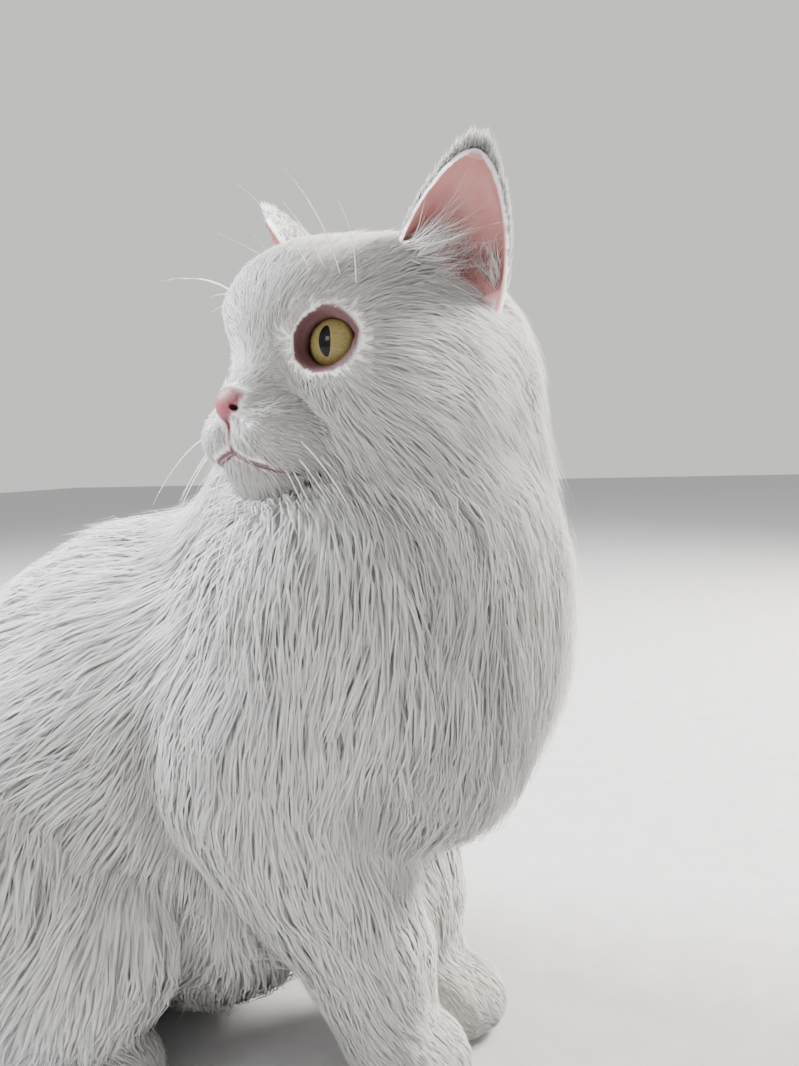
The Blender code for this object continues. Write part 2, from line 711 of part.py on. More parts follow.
def build_ear(word, side, head):
    name = "ear_" + word
    outer, cup = [], []
    for height in (-EAR_ROOT, 0, 0.014, 0.026, 0.036, 0.0425, EAR_HEIGHT):
        half = ear_half(height)
        outer.append(ear_ring(side, height, half, half * EAR_DEPTH, -0.002))
    for height in (EAR_CUP_BOTTOM, 0.005, 0.018, 0.030, 0.0385, 0.0425):
        half = ear_half(height) - EAR_THICKNESS * (1.5 - 0.5 * height / EAR_HEIGHT)
        half *= 0.55 if height == EAR_CUP_BOTTOM else 1.0
        cup.append(ear_ring(side, height, half, half * EAR_DEPTH + 0.004, EAR_RIM))
    ear = boolean(loft(name, outer), "DIFFERENCE", loft("cup", cup), "MANIFOLD")
    middle = on_head(*(vec(*EAR_BASE) * vec(1, side, 1)))
    ahead = HEAD @ ear_axes(side)[:, 1]
    boolean(ear, "INTERSECT", block([(middle + ahead * EAR_RIM, -ahead)], 0), "MANIFOLD")
    return boolean(ear, "DIFFERENCE", grown(head, GAP), "MANIFOLD")


def tail_masses():
    flesh, last = [], len(TAIL_PATH) - 1
    for number, (start, end) in enumerate(zip(TAIL_PATH, TAIL_PATH[1:])):
        radii = [TAIL_RADIUS * (1 - TAIL_TAPER * k / last) for k in (number, number + 1)]
        flesh.append(RoundCone(start, end, *radii, 0.012, TAIL_COAT, vec(*end) - vec(*start)))
    return flesh


TAIL = tail_masses()


def tail_core(points):
    skin, coat, _ = skin_field(points, TAIL)
    return np.maximum(skin - coat * CORE_SHARE, -points[..., 2])


def build_tail(torso):
    joints = []
    for number in TAIL_JOINTS:
        before, after = vec(*TAIL_PATH[number - 1]), vec(*TAIL_PATH[number + 1])
        joints.append((vec(*TAIL_PATH[number]), unit((after - before) * vec(1, 1, 0))))
    cuts = {"tail_base": [turned(joints[0])], "tail_middle": [joints[0], turned(joints[1])],
            "tail_tip": [joints[1]]}
    nodes = {}
    for name, planes in cuts.items():
        nodes[name] = flesh_part(name, "tail", planes, (-0.24, -0.09, -0.01), (-0.02, 0.16, 0.07), tail_core)
    boolean(nodes["tail_base"], "DIFFERENCE", grown(torso, GAP), "MANIFOLD")
    return nodes


class Locks:
    """Sizes of the locks on one node, in metres, how far they spread on it and their random draw."""

    def __init__(self, spacing, length, width, least_coat=0.010, thickness=0.0022, seed=7):
        self.spacing, self.length, self.width = spacing, length, width
        self.least_coat, self.thickness, self.seed = least_coat, thickness, seed


LOCKS = {
    "foreleg": Locks(0.023, 0.042, 0.018, 0.0065, seed=11),
    "thigh": Locks(0.027, 0.062, 0.027),
    "tail": Locks(0.026, 0.060, 0.024),
    "torso": Locks(0.0295, 0.074, 0.031),
    "neck": Locks(0.0240, 0.066, 0.027),
    "head": Locks(0.0192, 0.038, 0.0185, 0.0075),
}
# How far along a lock, and how high over its root, its sections are
STEPS = ((0.22, 0.50), (0.50, 0.90), (0.78, 1.0), (1.10, 0.97))
WIDTHS = (0.60, 1.0, 0.90, 0.52)  # their widths, from the root on, before the tip
WEIGHT = 0.25               # how much a lock hangs
MOST_HEIGHT = 0.020
LIFTS = (0.0, 0.003, 0.006, 0.010)
SINK = 0.0045
FLOOR_CLEARANCE = 0.0008
LOWEST = 0.0035            # how low the middle of a lock may hang


def slope(field, points, step=0.0008):
    """The way straight out of a field's surface, at each point."""
    way = np.stack([field(points + step * axis) - field(points - step * axis) for axis in np.eye(3)],
                   axis=-1)
    return way / np.maximum(np.linalg.norm(way, axis=-1, keepdims=True), 1e-9)


def rows(vectors):
    return vectors / np.maximum(np.linalg.norm(vectors, axis=-1, keepdims=True), 1e-9)


def lock_roots(subject, sizes, masses, field, rng):
    """Points spread over a node where its coat is long, away from the faces that cuts left."""
    mesh = subject.data
    corners = np.array([[mesh.vertices[v].co for v in p.vertices] for p in mesh.polygons], float)
    areas = np.linalg.norm(np.cross(corners[:, 1] - corners[:, 0], corners[:, 2] - corners[:, 0]), axis=1)
    chosen = rng.choice(len(corners), size=6000, p=areas / areas.sum())
    shares = rng.dirichlet((1, 1, 1), size=6000)
    spots = np.einsum("nk,nkd->nd", shares, corners[chosen])
    _, coat, _ = skin_field(spots, masses)
    free = (np.abs(field(spots)) < 0.0012) & (coat > sizes.least_coat) & (spots[:, 2] > 0.010)
    kept = []
    for spot in spots[free]:
        if all(np.linalg.norm(spot - other) > sizes.spacing for other in kept):
            kept.append(spot)
    return np.array(kept)


def lock_path(roots, lengths, field, masses, lift):
    """Points along each lock, which climbs from the core to the coat's tips while it follows the lie."""
    places = [roots - slope(field, roots) * SINK]
    here, last = roots, 0.0
    for step, rise in STEPS:
        _, coat, lie = skin_field(here, masses)
        out = slope(field, here)
        way = rows(lie) + np.array([0, 0, -WEIGHT])
        way = rows(way - out * np.sum(way * out, axis=-1, keepdims=True))
        here = here + way * (lengths * (step - last))[:, None]
        out = slope(field, here)
        height = np.minimum(coat * (1 - CORE_SHARE) * rise + lift, MOST_HEIGHT)
        here = here + out * (height - field(here))[:, None]
        here[:, 2] = np.maximum(here[:, 2], LOWEST)
        places.append(here)
        last = step
    return np.stack(places, axis=1)


def lock_mesh(path, width, thickness, field, extra=0.0):
    """A flat lock of diamond sections along a path, ending in a point, as points and faces."""
    points = []
    ahead = rows(np.gradient(path, axis=0))
    out = slope(field, path)
    for number, spot in enumerate(path[:-1]):
        across = unit(np.cross(out[number], ahead[number]))
        over = np.cross(ahead[number], across)
        half = width * WIDTHS[number] / 2 + extra
        deep = thickness / 2 + extra
        points += [spot + across * half, spot + over * deep, spot - across * half, spot - over * deep]
    points.append(path[-1] + ahead[-1] * 2 * extra)
    points = np.array(points)
    faces = [(3, 2, 1), (3, 1, 0)]
    rings, tip = len(path) - 1, len(points) - 1
    for ring in range(rings - 1):
        for k in range(4):
            a, b = 4 * ring + k, 4 * ring + (k + 1) % 4
            faces += [(a, b, b + 4), (a, b + 4, a + 4)]
    for k in range(4):
        faces.append((4 * (rings - 1) + k, 4 * (rings - 1) + (k + 1) % 4, tip))
    return points, faces


def tree_of(subject):
    mesh = subject.data
    return BVHTree.FromPolygons([v.co.copy() for v in mesh.vertices],
                                [tuple(p.vertices) for p in mesh.polygons])


def nearest_lock(group, spot):
    """The lock of a collection that comes nearest to a spot with one of its points."""
    return min(group.objects, key=lambda lock: min((v.co - spot).length for v in lock.data.vertices))


def union_of_locks(subject, group):
    """Joins a collection of locks to a node, without those that leave it touching itself along an edge."""
    base = subject.data
    while True:
        joining = bpy.data.collections.new("joining")
        bpy.context.scene.collection.children.link(joining)
        for lock in group.objects:
            joining.objects.link(bpy.data.objects.new("lock", lock.data))
        subject.data = base.copy()
        boolean(subject, "UNION", joining, "MANIFOLD")
        bpy.data.collections.remove(joining)
        joined = subject.data.copy()
        if len(touching_places(without_slivers(subject))):
            subject.data = joined
        spots = touching_places(subject)
        if not len(spots):
            return
        for lock in {nearest_lock(group, Vector(spot)) for spot in spots}:
            bpy.data.objects.remove(lock)


def add_locks(name, subject, sizes, others, masses, field):
    """Roots locks over one node and joins them to it, each clear of every other node."""
    rng = np.random.default_rng([sizes.seed, sum(map(ord, name))])
    roots = lock_roots(subject, sizes, masses, field, rng)
    if not len(roots):
        return
    lengths = sizes.length * rng.uniform(0.85, 1.15, len(roots))
    widths = sizes.width * rng.uniform(0.85, 1.15, len(roots))
    tries = []
    for shorter in (1.0, 0.7):
        for lift in LIFTS:
            tries.append(lock_path(roots, lengths * shorter, field, masses, lift))
    trees = [tree_of(other) for other in others]
    group = bpy.data.collections.new(name + "_locks")
    bpy.context.scene.collection.children.link(group)
    for number in range(len(roots)):
        for paths in tries:
            shape = paths[number], widths[number], sizes.thickness, field
            points, faces = lock_mesh(*shape, extra=GAP)
            if points[:, 2].min() < FLOOR_CLEARANCE:
                continue
            wide = BVHTree.FromPolygons(points, faces)
            if not any(tree.overlap(wide) for tree in trees):
                lock = add_object(name + "_lock", *lock_mesh(*shape))
                bpy.context.scene.collection.objects.unlink(lock)
                group.objects.link(lock)
                break
    union_of_locks(subject, group)
    bpy.data.collections.remove(group)


FINISHES = {
    "coat": ((0.80, 0.78, 0.74), 0.85),
    "ear_skin": ((0.62, 0.40, 0.36), 0.55),
    "eye": ((0.45, 0.38, 0.16), 0.08),
}


def finish_of(name):
    kind = "eye" if name.startswith("eye") else "ear_skin" if name.startswith("ear") else "coat"
    colour, roughness = FINISHES[kind]
    made = bpy.data.materials.get(kind) or bpy.data.materials.new(kind)
    made.use_nodes = True
    shader = made.node_tree.nodes["Principled BSDF"]
    shader.inputs["Base Color"].default_value = (*colour, 1)
    shader.inputs["Roughness"].default_value = roughness
    shader.inputs["Metallic"].default_value = 0
    return made


def centred(nodes):
    """Moves the whole cat so that the middle of its box stands over the origin."""
    corners = np.array([v.co for node in nodes.values() for v in node.data.vertices])
    middle = (corners.min(axis=0) + corners.max(axis=0)) / 2
    for node in nodes.values():
        node.data.transform(Matrix.Translation((-middle[0], -middle[1], 0)))


def main():
    for old in list(bpy.data.objects):
        bpy.data.objects.remove(old)
    nodes = {**build_torso(), **build_legs()}
    nodes["neck"] = flesh_part("neck", "neck", [NECK_CUT, turned(HEAD_CUT)],
                               (-0.06, -0.11, 0.16), (0.14, 0.10, 0.29))
    nodes["head"] = build_head()
    for word, side in SIDES:
        nodes["ear_" + word] = build_ear(word, side, nodes["head"])
        nodes["eye_" + word] = eyeball("eye_" + word, side, EYE_RADIUS)
    nodes.update(build_tail(nodes["torso_rear"]))
    for name in ("tail_tip", "tail_middle", "tail_base", "foreleg_left", "foreleg_right",
                 "thigh_left", "thigh_right", "torso_rear", "torso_front", "neck", "head"):
        kind = name.split("_")[0]
        tail = kind == "tail"
        others = [node for other, node in nodes.items() if other != name]
        masses, core = (TAIL, tail_core) if tail else (MASSES, core_field)
        add_locks(name, nodes[name], LOCKS[kind], others, masses, core)
    centred(nodes)
    for name, node in nodes.items():
        node.data.materials.clear()
        node.data.materials.append(finish_of(name))


main()
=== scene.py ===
"""The looks of the sitting long-haired white cat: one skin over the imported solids, its coat as solid
tufts, ears, eyes, nose and whiskers, on a plain pale floor.

The flesh is the same smooth union of named masses as in the solids. Its distance field gives the
skin, the depth of the coat over it and the way the hair lies. Units are metres.
"""
import math

import bmesh
import bpy
import numpy as np
from mathutils import Matrix, Vector
from mathutils.kdtree import KDTree


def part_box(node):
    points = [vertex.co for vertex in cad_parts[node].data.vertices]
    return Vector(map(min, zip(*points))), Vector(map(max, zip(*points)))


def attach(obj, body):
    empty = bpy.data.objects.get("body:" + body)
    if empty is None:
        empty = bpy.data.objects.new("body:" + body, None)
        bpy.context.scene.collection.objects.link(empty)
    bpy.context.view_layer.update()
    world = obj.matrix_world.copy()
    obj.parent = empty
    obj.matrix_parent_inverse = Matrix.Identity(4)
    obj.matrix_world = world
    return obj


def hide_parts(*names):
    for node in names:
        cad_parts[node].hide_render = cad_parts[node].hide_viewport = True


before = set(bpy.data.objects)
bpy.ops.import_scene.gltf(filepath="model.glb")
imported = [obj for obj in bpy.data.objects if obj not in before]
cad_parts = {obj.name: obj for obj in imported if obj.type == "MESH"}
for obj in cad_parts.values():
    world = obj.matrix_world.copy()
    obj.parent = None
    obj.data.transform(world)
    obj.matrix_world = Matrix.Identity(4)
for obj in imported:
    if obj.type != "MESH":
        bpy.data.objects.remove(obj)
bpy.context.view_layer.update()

# Driving dimensions, the same as in the solids but for the thinner ears
WITHERS_HEIGHT = 0.190
CHEST_FRONT = 0.059
SPINE_BEND = 0.9           # sideways curve of the spine to the cat's right, per metre behind the chest
BEND_START = 0.040
FORELEG_SPREAD = 0.0215
FORELEG_BACK = {1: 0.010, -1: 0.004}  # how far behind its paw the left or right foreleg comes down
HIP_SPREAD = 0.052
FOOT_SPREAD = 0.070
HEAD_CENTRE = (0.050, -0.012, 0.278)
HEAD_YAW = -112.0
HEAD_ROLL = -1.0
EYE_CENTRE = (0.0275, 0.022, 0.0030)
EYE_RADIUS = 0.0115
EYE_YAW = 20.0
EYE_PITCH = 4.0
EYE_SLANT = 14.0
EAR_BASE = (-0.010, 0.035, 0.025)
EAR_UP = (0.22, 0.52, 0.83)
EAR_OPEN = (0.75, 0.66, -0.10)
EAR_HEIGHT = 0.046
EAR_ROOT = 0.014
EAR_HALF_WIDTH = 0.0200
EAR_THICKNESS = 0.0012
EAR_CUP_BOTTOM = -0.002
EAR_DEPTH = 0.62
EAR_RIM = 0.0045
TAIL_PATH = ((-0.170, -0.040, 0.040), (-0.201, 0.004, 0.023), (-0.194, 0.066, 0.018),
             (-0.142, 0.118, 0.017), (-0.080, 0.136, 0.016), (-0.052, 0.136, 0.015))
TAIL_RADIUS = 0.0095
TAIL_TAPER = 0.45
TAIL_COAT = 0.024

SIDES = (("left", 1), ("right", -1))
SEED = 11


def vec(*numbers):
    return np.array(numbers, float)


def unit(v):
    return v / np.linalg.norm(v)


def rows(vectors):
    """The vectors of an array, each made one long."""
    return vectors / np.maximum(np.linalg.norm(vectors, axis=-1, keepdims=True), 1e-9)


def dots(a, b):
    return np.sum(a * b, axis=-1, keepdims=True)


def mirrored(place, side):
    """A place on the left, or its mirror image on the right where side is -1."""
    return vec(*place) * vec(1, side, 1)


def place_on(values, low, high):
    """0 at low, 1 at high and in between along a smooth curve."""
    share = np.clip((values - low) / (high - low), 0, 1)
    return share * share * (3 - 2 * share)


def bent(point):
    """A point of the straight body, moved sideways by the curve of the spine."""
    x, y, z = point
    behind = max(BEND_START - x, 0.0)
    return vec(x, y - SPINE_BEND * behind * behind, z)


def head_axes():
    """Columns are the head's forward, left and up directions."""
    yaw, roll = math.radians(HEAD_YAW), math.radians(HEAD_ROLL)
    turn = np.array([[math.cos(yaw), -math.sin(yaw), 0], [math.sin(yaw), math.cos(yaw), 0], [0, 0, 1]])
    lean = np.array([[1, 0, 0], [0, math.cos(roll), -math.sin(roll)], [0, math.sin(roll), math.cos(roll)]])
    return turn @ lean


HEAD = head_axes()


def on_head(x, y, z):
    return vec(*HEAD_CENTRE) + HEAD @ vec(x, y, z)


def in_head(points):
    return (points - vec(*HEAD_CENTRE)) @ HEAD


def head_way(x, y, z):
    return HEAD @ vec(x, y, z)


class Mass:
    """One mass of flesh: how softly it joins the rest, how deep its coat is and which way it lies."""

    def __init__(self, blend, coat, lie):
        self.blend, self.coat, self.lie = blend, coat, unit(vec(*lie))


class RoundCone(Mass):
    def __init__(self, start, end, start_radius, end_radius, blend, coat, lie=None):
        self.start, self.end = vec(*start), vec(*end)
        self.radii = (start_radius, end_radius)
        super().__init__(blend, coat, lie if lie is not None else self.end - self.start)

    def distance(self, points):
        axis = self.end - self.start
        offset = points - self.start
        share = np.clip(offset @ axis / (axis @ axis), 0, 1)
        radius = self.radii[0] + (self.radii[1] - self.radii[0]) * share
        return np.linalg.norm(offset - share[..., None] * axis, axis=-1) - radius


class Ellipsoid(Mass):
    def __init__(self, centre, radii, blend, coat, lie, axes=None):
        self.centre, self.size = vec(*centre), vec(*radii)
        self.axes = np.eye(3) if axes is None else axes
        super().__init__(blend, coat, lie)

    def distance(self, points):
        local = ((points - self.centre) @ self.axes) / self.size
        near = np.linalg.norm(local, axis=-1)
        slope = np.linalg.norm(local / self.size, axis=-1)
        return near * (near - 1) / np.maximum(slope, 1e-9)


def pitched(degrees):
    a = math.radians(degrees)
    return np.array([[math.cos(a), 0, -math.sin(a)], [0, 1, 0], [math.sin(a), 0, math.cos(a)]])


def soft_min(a, b, blend):
    """The smaller of two distances, rounded where they are nearly equal."""
    share = np.maximum(blend - np.abs(a - b), 0) / blend
    return np.minimum(a, b) - share * share * blend / 4


def soft_max(a, b, blend):
    return -soft_min(-a, -b, blend)


def trunk_masses():
    back = (-1, 0, -0.3)
    return [
        Ellipsoid(bent((-0.140, 0, 0.076)), (0.058, 0.060, 0.066), 0.025, 0.020, (-1, 0, -0.8)),
        RoundCone(bent((-0.060, 0, 0.124)), bent((-0.130, 0, 0.096)), 0.062, 0.054, 0.025, 0.020, back),
        RoundCone(bent((0.030, 0, 0.152)), bent((-0.060, 0, 0.126)), 0.054, 0.062, 0.025, 0.020,
                  (-1, 0, -0.5)),
        Ellipsoid((CHEST_FRONT, 0, 0.162), (0.038, 0.046, 0.052), 0.025, 0.024, (0.2, 0, -1)),
        RoundCone((0.040, 0, WITHERS_HEIGHT), bent((-0.060, 0, 0.160)), 0.028, 0.032, 0.030, 0.018, back),
        Ellipsoid(bent((-0.055, 0, 0.072)), (0.069, 0.052, 0.048), 0.025, 0.020, (-0.2, 0, -1)),
    ]


def neck_masses():
    down = (-0.1, 0, -1)
    return [
        RoundCone((0.046, 0, 0.202), (0.050, -0.006, 0.250), 0.046, 0.037, 0.025, 0.026, down),
        RoundCone(on_head(-0.020, 0, -0.008), (0.047, -0.002, 0.217), 0.032, 0.043, 0.025, 0.022, down),
    ]


def toe_masses(centre, spread, coat):
    """Four rounded toes in an arc ahead of centre."""
    toes = []
    for number in range(4):
        across = (number - 1.5) / 1.5
        ahead = 0.010 - 0.005 * across * across
        place = vec(*centre) + vec(ahead, across * spread, -0.001)
        toes.append(Ellipsoid(place, (0.0115, 0.0058, 0.0100), 0.0022, coat, (1, 0, -0.1)))
    return toes


def foreleg_masses(side):
    back = FORELEG_BACK[side]
    shoulder = (0.045, side * 0.036, 0.187)
    elbow = (0.022 - back, side * 0.041, 0.132)
    wrist = (0.054 - back, side * FORELEG_SPREAD * 1.1, 0.050)
    pastern = (0.060 - back, side * FORELEG_SPREAD, 0.020)
    paw = (0.065, side * FORELEG_SPREAD, 0.0125)
    return [
        RoundCone(shoulder, elbow, 0.036, 0.029, 0.020, 0.014, (-0.2, 0, -1)),
        RoundCone(elbow, wrist, 0.028, 0.016, 0.015, 0.012),
        RoundCone(wrist, pastern, 0.0155, 0.0145, 0.008, 0.007),
        Ellipsoid(paw, (0.019, 0.0150, 0.0125), 0.006, 0.003, (1, 0, -0.1)),
        *toe_masses(paw, 0.0100, 0.003),
    ]


def hind_leg_masses(side):
    heel = bent((-0.125, side * 0.064, 0.017))
    toes = bent((-0.040, side * FOOT_SPREAD, 0.013))
    knee = bent((-0.048, side * 0.068, 0.062))
    shin = bent((-0.050, side * FOOT_SPREAD, 0.055)), bent((-0.125, side * 0.064, 0.026))
    return [
        Ellipsoid(bent((-0.105, side * HIP_SPREAD, 0.080)), (0.062, 0.032, 0.058), 0.022, 0.018,
                  (0.2, 0, -1), pitched(-25)),
        RoundCone(bent((-0.095, side * 0.060, 0.085)), knee, 0.040, 0.028, 0.020, 0.016, (-0.4, 0, -1)),
        RoundCone(*shin, 0.024, 0.015, 0.015, 0.010),
        RoundCone(heel, toes, 0.015, 0.013, 0.008, 0.005),
        *toe_masses(toes, 0.0105, 0.003),
    ]


def head_masses():
    masses = [
        Ellipsoid(on_head(-0.006, 0, 0.004), (0.040, 0.036, 0.034), 0.025, 0.007, head_way(-1, 0, 0), HEAD),
        Ellipsoid(on_head(0.0230, 0, 0.015), (0.0265, 0.030, 0.022), 0.014, 0.004,
                  head_way(-0.8, 0, 0.6), HEAD),
        RoundCone(on_head(0.022, 0, 0.001), on_head(0.0465, 0, -0.0145), 0.019, 0.0105, 0.010, 0.002,
                  head_way(-1, 0, 0.6)),
        Ellipsoid(on_head(0.0560, 0, -0.0158), (0.0058, 0.0072, 0.0054), 0.0025, 0.0003,
                  head_way(-1, 0, 0), HEAD),
        Ellipsoid(on_head(0.0420, 0, -0.0358), (0.0108, 0.0110, 0.0072), 0.006, 0.003,
                  head_way(-0.6, 0, -0.8), HEAD),
    ]
    for side in (-1, 1):
        masses += [
            Ellipsoid(on_head(0.010, side * 0.023, -0.014), (0.027, 0.019, 0.022), 0.014, 0.009,
                      head_way(-0.8, side * 0.4, -0.4), HEAD),
            Ellipsoid(on_head(0.0465, side * 0.0092, -0.0268), (0.0132, 0.0120, 0.0102), 0.005, 0.003,
                      head_way(-0.7, side * 0.6, -0.5), HEAD),
            RoundCone(on_head(0.036, side * 0.004, -0.0325), on_head(0.002, side * 0.014, -0.026),
                      0.0095, 0.017, 0.012, 0.006, head_way(-1, 0, -0.4)),
        ]
    return masses


def tail_masses():
    flesh, last = [], len(TAIL_PATH) - 1
    for number, (start, end) in enumerate(zip(TAIL_PATH, TAIL_PATH[1:])):
        radii = [TAIL_RADIUS * (1 - TAIL_TAPER * k / last) for k in (number, number + 1)]
        flesh.append(RoundCone(start, end, *radii, 0.012, TAIL_COAT, vec(*end) - vec(*start)))
    return flesh


FLESH = {
    "back": trunk_masses(),
    "ruff": neck_masses(),
    "forelegs": [mass for side in (-1, 1) for mass in foreleg_masses(side)],
    "hind_legs": [mass for side in (-1, 1) for mass in hind_leg_masses(side)],
    "head": head_masses(),
    "tail": tail_masses(),
}
NEARNESS = 0.007           # how fast a mass loses its say over the coat with distance
SKIN_SHARE = 0.58          # how far up in the coat the shown skin lies
FOLD_WIDTH = 0.0065        # half the width of the fold where a leg lies against the body
FOLD_DEPTH = 0.60          # how far the coat sinks there, as a share of its depth
FOLD_HEIGHTS = (0.125, 0.165)  # the fold fades out between these heights


def flesh_field(points):
    """Distance to the flesh, depth of the coat and the way it lies, at each point."""
    flesh, weight, coat, lie, groups = None, 0, 0, 0, []
    for name, masses in FLESH.items():
        nearest = 1.0
        for mass in masses:
            reach = mass.distance(points)
            say = np.exp(-np.clip(reach, -0.02, 0.2) / NEARNESS)
            weight = weight + say
            coat = coat + say * mass.coat
            lie = lie + say[..., None] * mass.lie
            flesh = reach if flesh is None else soft_min(flesh, reach, mass.blend)
            nearest = np.minimum(nearest, reach)
        if name in ("back", "forelegs", "hind_legs"):
            groups.append(nearest)
    first, second = np.sort(np.stack(groups), axis=0)[:2]
    low = 1 - place_on(points[..., 2], *FOLD_HEIGHTS)
    fold = FOLD_DEPTH * low * np.exp(-((second - first) / FOLD_WIDTH) ** 2)
    return flesh, coat / weight * (1 - fold), lie


def skin_field(points):
    """Distance to the shown skin, flat where it meets the floor."""
    flesh, coat, _ = flesh_field(points)
    return np.maximum(flesh - coat * SKIN_SHARE, -points[..., 2])


def eye_axes(side):
    """Columns are the way an eye looks, along its lids towards the ear, and up, in the head's frame."""
    yaw, pitch, slant = (math.radians(a) for a in (EYE_YAW, EYE_PITCH, EYE_SLANT))
    look = vec(math.cos(yaw) * math.cos(pitch), side * math.sin(yaw) * math.cos(pitch), math.sin(pitch))
    out = unit(np.cross(vec(0, 0, 1), look)) * side
    up = np.cross(look, out) * side
    along = out * math.cos(slant) + up * math.sin(slant)
    return np.stack([look, along, up * math.cos(slant) - out * math.sin(slant)], axis=1)


LID_THICKNESS = 0.0014     # thinner than in the solids
OPENING_HALF = (0.0100, 0.0083)  # half the length and half the height of the opened lids
LID_BLEND = 0.003
OPENING_DEPTH = 0.010      # how far before the eyeball the skin is opened
SOCKET_INSET = 0.0004      # the socket's radius is this much under EYE_RADIUS
EYE_INSET = 0.0003         # and the eyeball's, which so fills its socket


def eye_centre(side):
    return mirrored(EYE_CENTRE, side)


def eye_look(side):
    """The way one eye looks, in the cat's frame."""
    return HEAD @ eye_axes(side)[:, 0]


def eye_reach(local, side):
    """Distance from the middle of one eye, for points in the head's frame."""
    return np.linalg.norm(local - eye_centre(side), axis=-1)


def lid_opening(points, side):
    """Under zero inside the almond between the lids, which ends in the tear corner."""
    local = (points - eye_centre(side)) @ eye_axes(side)
    half_length, half_height = OPENING_HALF
    arc = (half_length ** 2 + half_height ** 2) / (2 * half_height)
    drop = arc - half_height
    almond = np.maximum(np.hypot(local[..., 1], local[..., 2] + drop),
                        np.hypot(local[..., 1], local[..., 2] - drop)) - arc
    return np.maximum(almond, -local[..., 0])


def face_field(points):
    """The skin with an opening before each eye and lids round it."""
    d = skin_field(points)
    local = in_head(points)
    for _, side in SIDES:
        reach = eye_reach(local, side)
        opening = lid_opening(local, side)
        d = soft_max(d, -np.maximum(opening - 0.0005, reach - EYE_RADIUS - OPENING_DEPTH), LID_BLEND)
        lid = np.maximum(reach - EYE_RADIUS - LID_THICKNESS, -opening)
        d = soft_min(d, lid, LID_BLEND)
        d = soft_max(d, EYE_RADIUS - SOCKET_INSET - reach, 0.0006)
    return d


BAND_STRIDE = 4            # cells of the grid to one step of the coarse grid
BAND_CELLS = 7.0           # the field is worked out closely this many cells either side of its surface
BAND_PART = 200000         # the most points that are worked out at a time


def grid_points(axes):
    return np.stack(np.meshgrid(*axes, indexing="ij"), axis=-1)


def band_values(field, axes, cell):
    """The field on a grid, closely near its surface and coarsely elsewhere."""
    rough = field(grid_points([axis[::BAND_STRIDE] for axis in axes]))
    places = np.ix_(*[np.minimum((np.arange(len(axis)) + BAND_STRIDE // 2) // BAND_STRIDE, n - 1)
                      for axis, n in zip(axes, rough.shape)])
    value = rough[places]
    near = np.argwhere(np.abs(value) < BAND_CELLS * cell)
    spots = np.stack([axis[near[:, k]] for k, axis in enumerate(axes)], axis=-1)
    parts = np.array_split(spots, 1 + len(spots) // BAND_PART)
    value[tuple(near.T)] = np.concatenate([field(part) for part in parts])
    return value


def surface_mesh(name, field, low, high, cell):
    """A closed mesh of the field's zero level in a box: one vertex in each cell that it crosses."""
    axes = [np.arange(a - cell, b + 2 * cell, cell) for a, b in zip(low, high)]
    grid = grid_points(axes)
    value = band_values(field, axes, cell)
    value = np.maximum(value, np.max(np.maximum(vec(*low) - grid, grid - vec(*high)), axis=-1))
    value[np.abs(value) < 1e-9] = 1e-9
    cells = tuple(n - 1 for n in value.shape)
    total, count = np.zeros(cells + (3,)), np.zeros(cells)
    steps = np.eye(3, dtype=int)
    for axis in range(3):
        for a in (0, 1):
            for b in (0, 1):
                corner = a * steps[(axis + 1) % 3] + b * steps[(axis + 2) % 3]
                other = corner + steps[axis]
                first = value[tuple(slice(c, c + n) for c, n in zip(corner, cells))]
                second = value[tuple(slice(c, c + n) for c, n in zip(other, cells))]
                crossed = (first < 0) != (second < 0)
                share = np.where(crossed, first / np.where(crossed, first - second, 1), 0)
                total += crossed[..., None] * (corner + share[..., None] * steps[axis])
                count += crossed
    used = count > 0
    index = np.full(cells, -1)
    index[used] = np.arange(used.sum())
    origin = np.array([a[0] for a in axes])
    points = origin + cell * (np.argwhere(used) + total[used] / count[used][:, None])
    faces = []
    for axis in range(3):
        u, v = (axis + 1) % 3, (axis + 2) % 3
        here = [slice(1, n) for n in cells]
        here[axis] = slice(0, cells[axis])
        ahead = list(here)
        ahead[axis] = slice(1, cells[axis] + 1)
        inside, beyond = value[tuple(here)] < 0, value[tuple(ahead)] < 0
        for flips, chosen in ((False, inside & ~beyond), (True, beyond & ~inside)):
            base = np.argwhere(chosen)
            base[:, u] += 1
            base[:, v] += 1
            around = [base - steps[u] - steps[v], base - steps[v], base, base - steps[u]]
            quad = np.stack([index[tuple(c.T)] for c in around], axis=1)
            faces.append(quad[:, ::-1] if flips else quad)
    return mesh_object(name, points, np.concatenate(faces))


def add_object(name, data):
    made = bpy.data.objects.new(name, data)
    bpy.context.scene.collection.objects.link(made)
    return made


def finished_mesh(name, work):
    """The mesh of a bmesh, which is then freed."""
    mesh = bpy.data.meshes.new(name)
    work.to_mesh(mesh)
    work.free()
    return mesh


def mesh_object(name, points, faces):
    """An object from an array of points and an array of faces with equally many corners."""
    mesh = bpy.data.meshes.new(name)
    count, corners = faces.shape
    mesh.vertices.add(len(points))
    mesh.vertices.foreach_set("co", np.asarray(points, np.float32).ravel())
    mesh.loops.add(count * corners)
    mesh.loops.foreach_set("vertex_index", np.ascontiguousarray(faces, np.int32).ravel())
    mesh.polygons.add(count)
    mesh.polygons.foreach_set("loop_start", np.arange(0, count * corners, corners, dtype=np.int32))
    mesh.update(calc_edges=True)
    mesh.shade_smooth()
    return add_object(name, mesh)


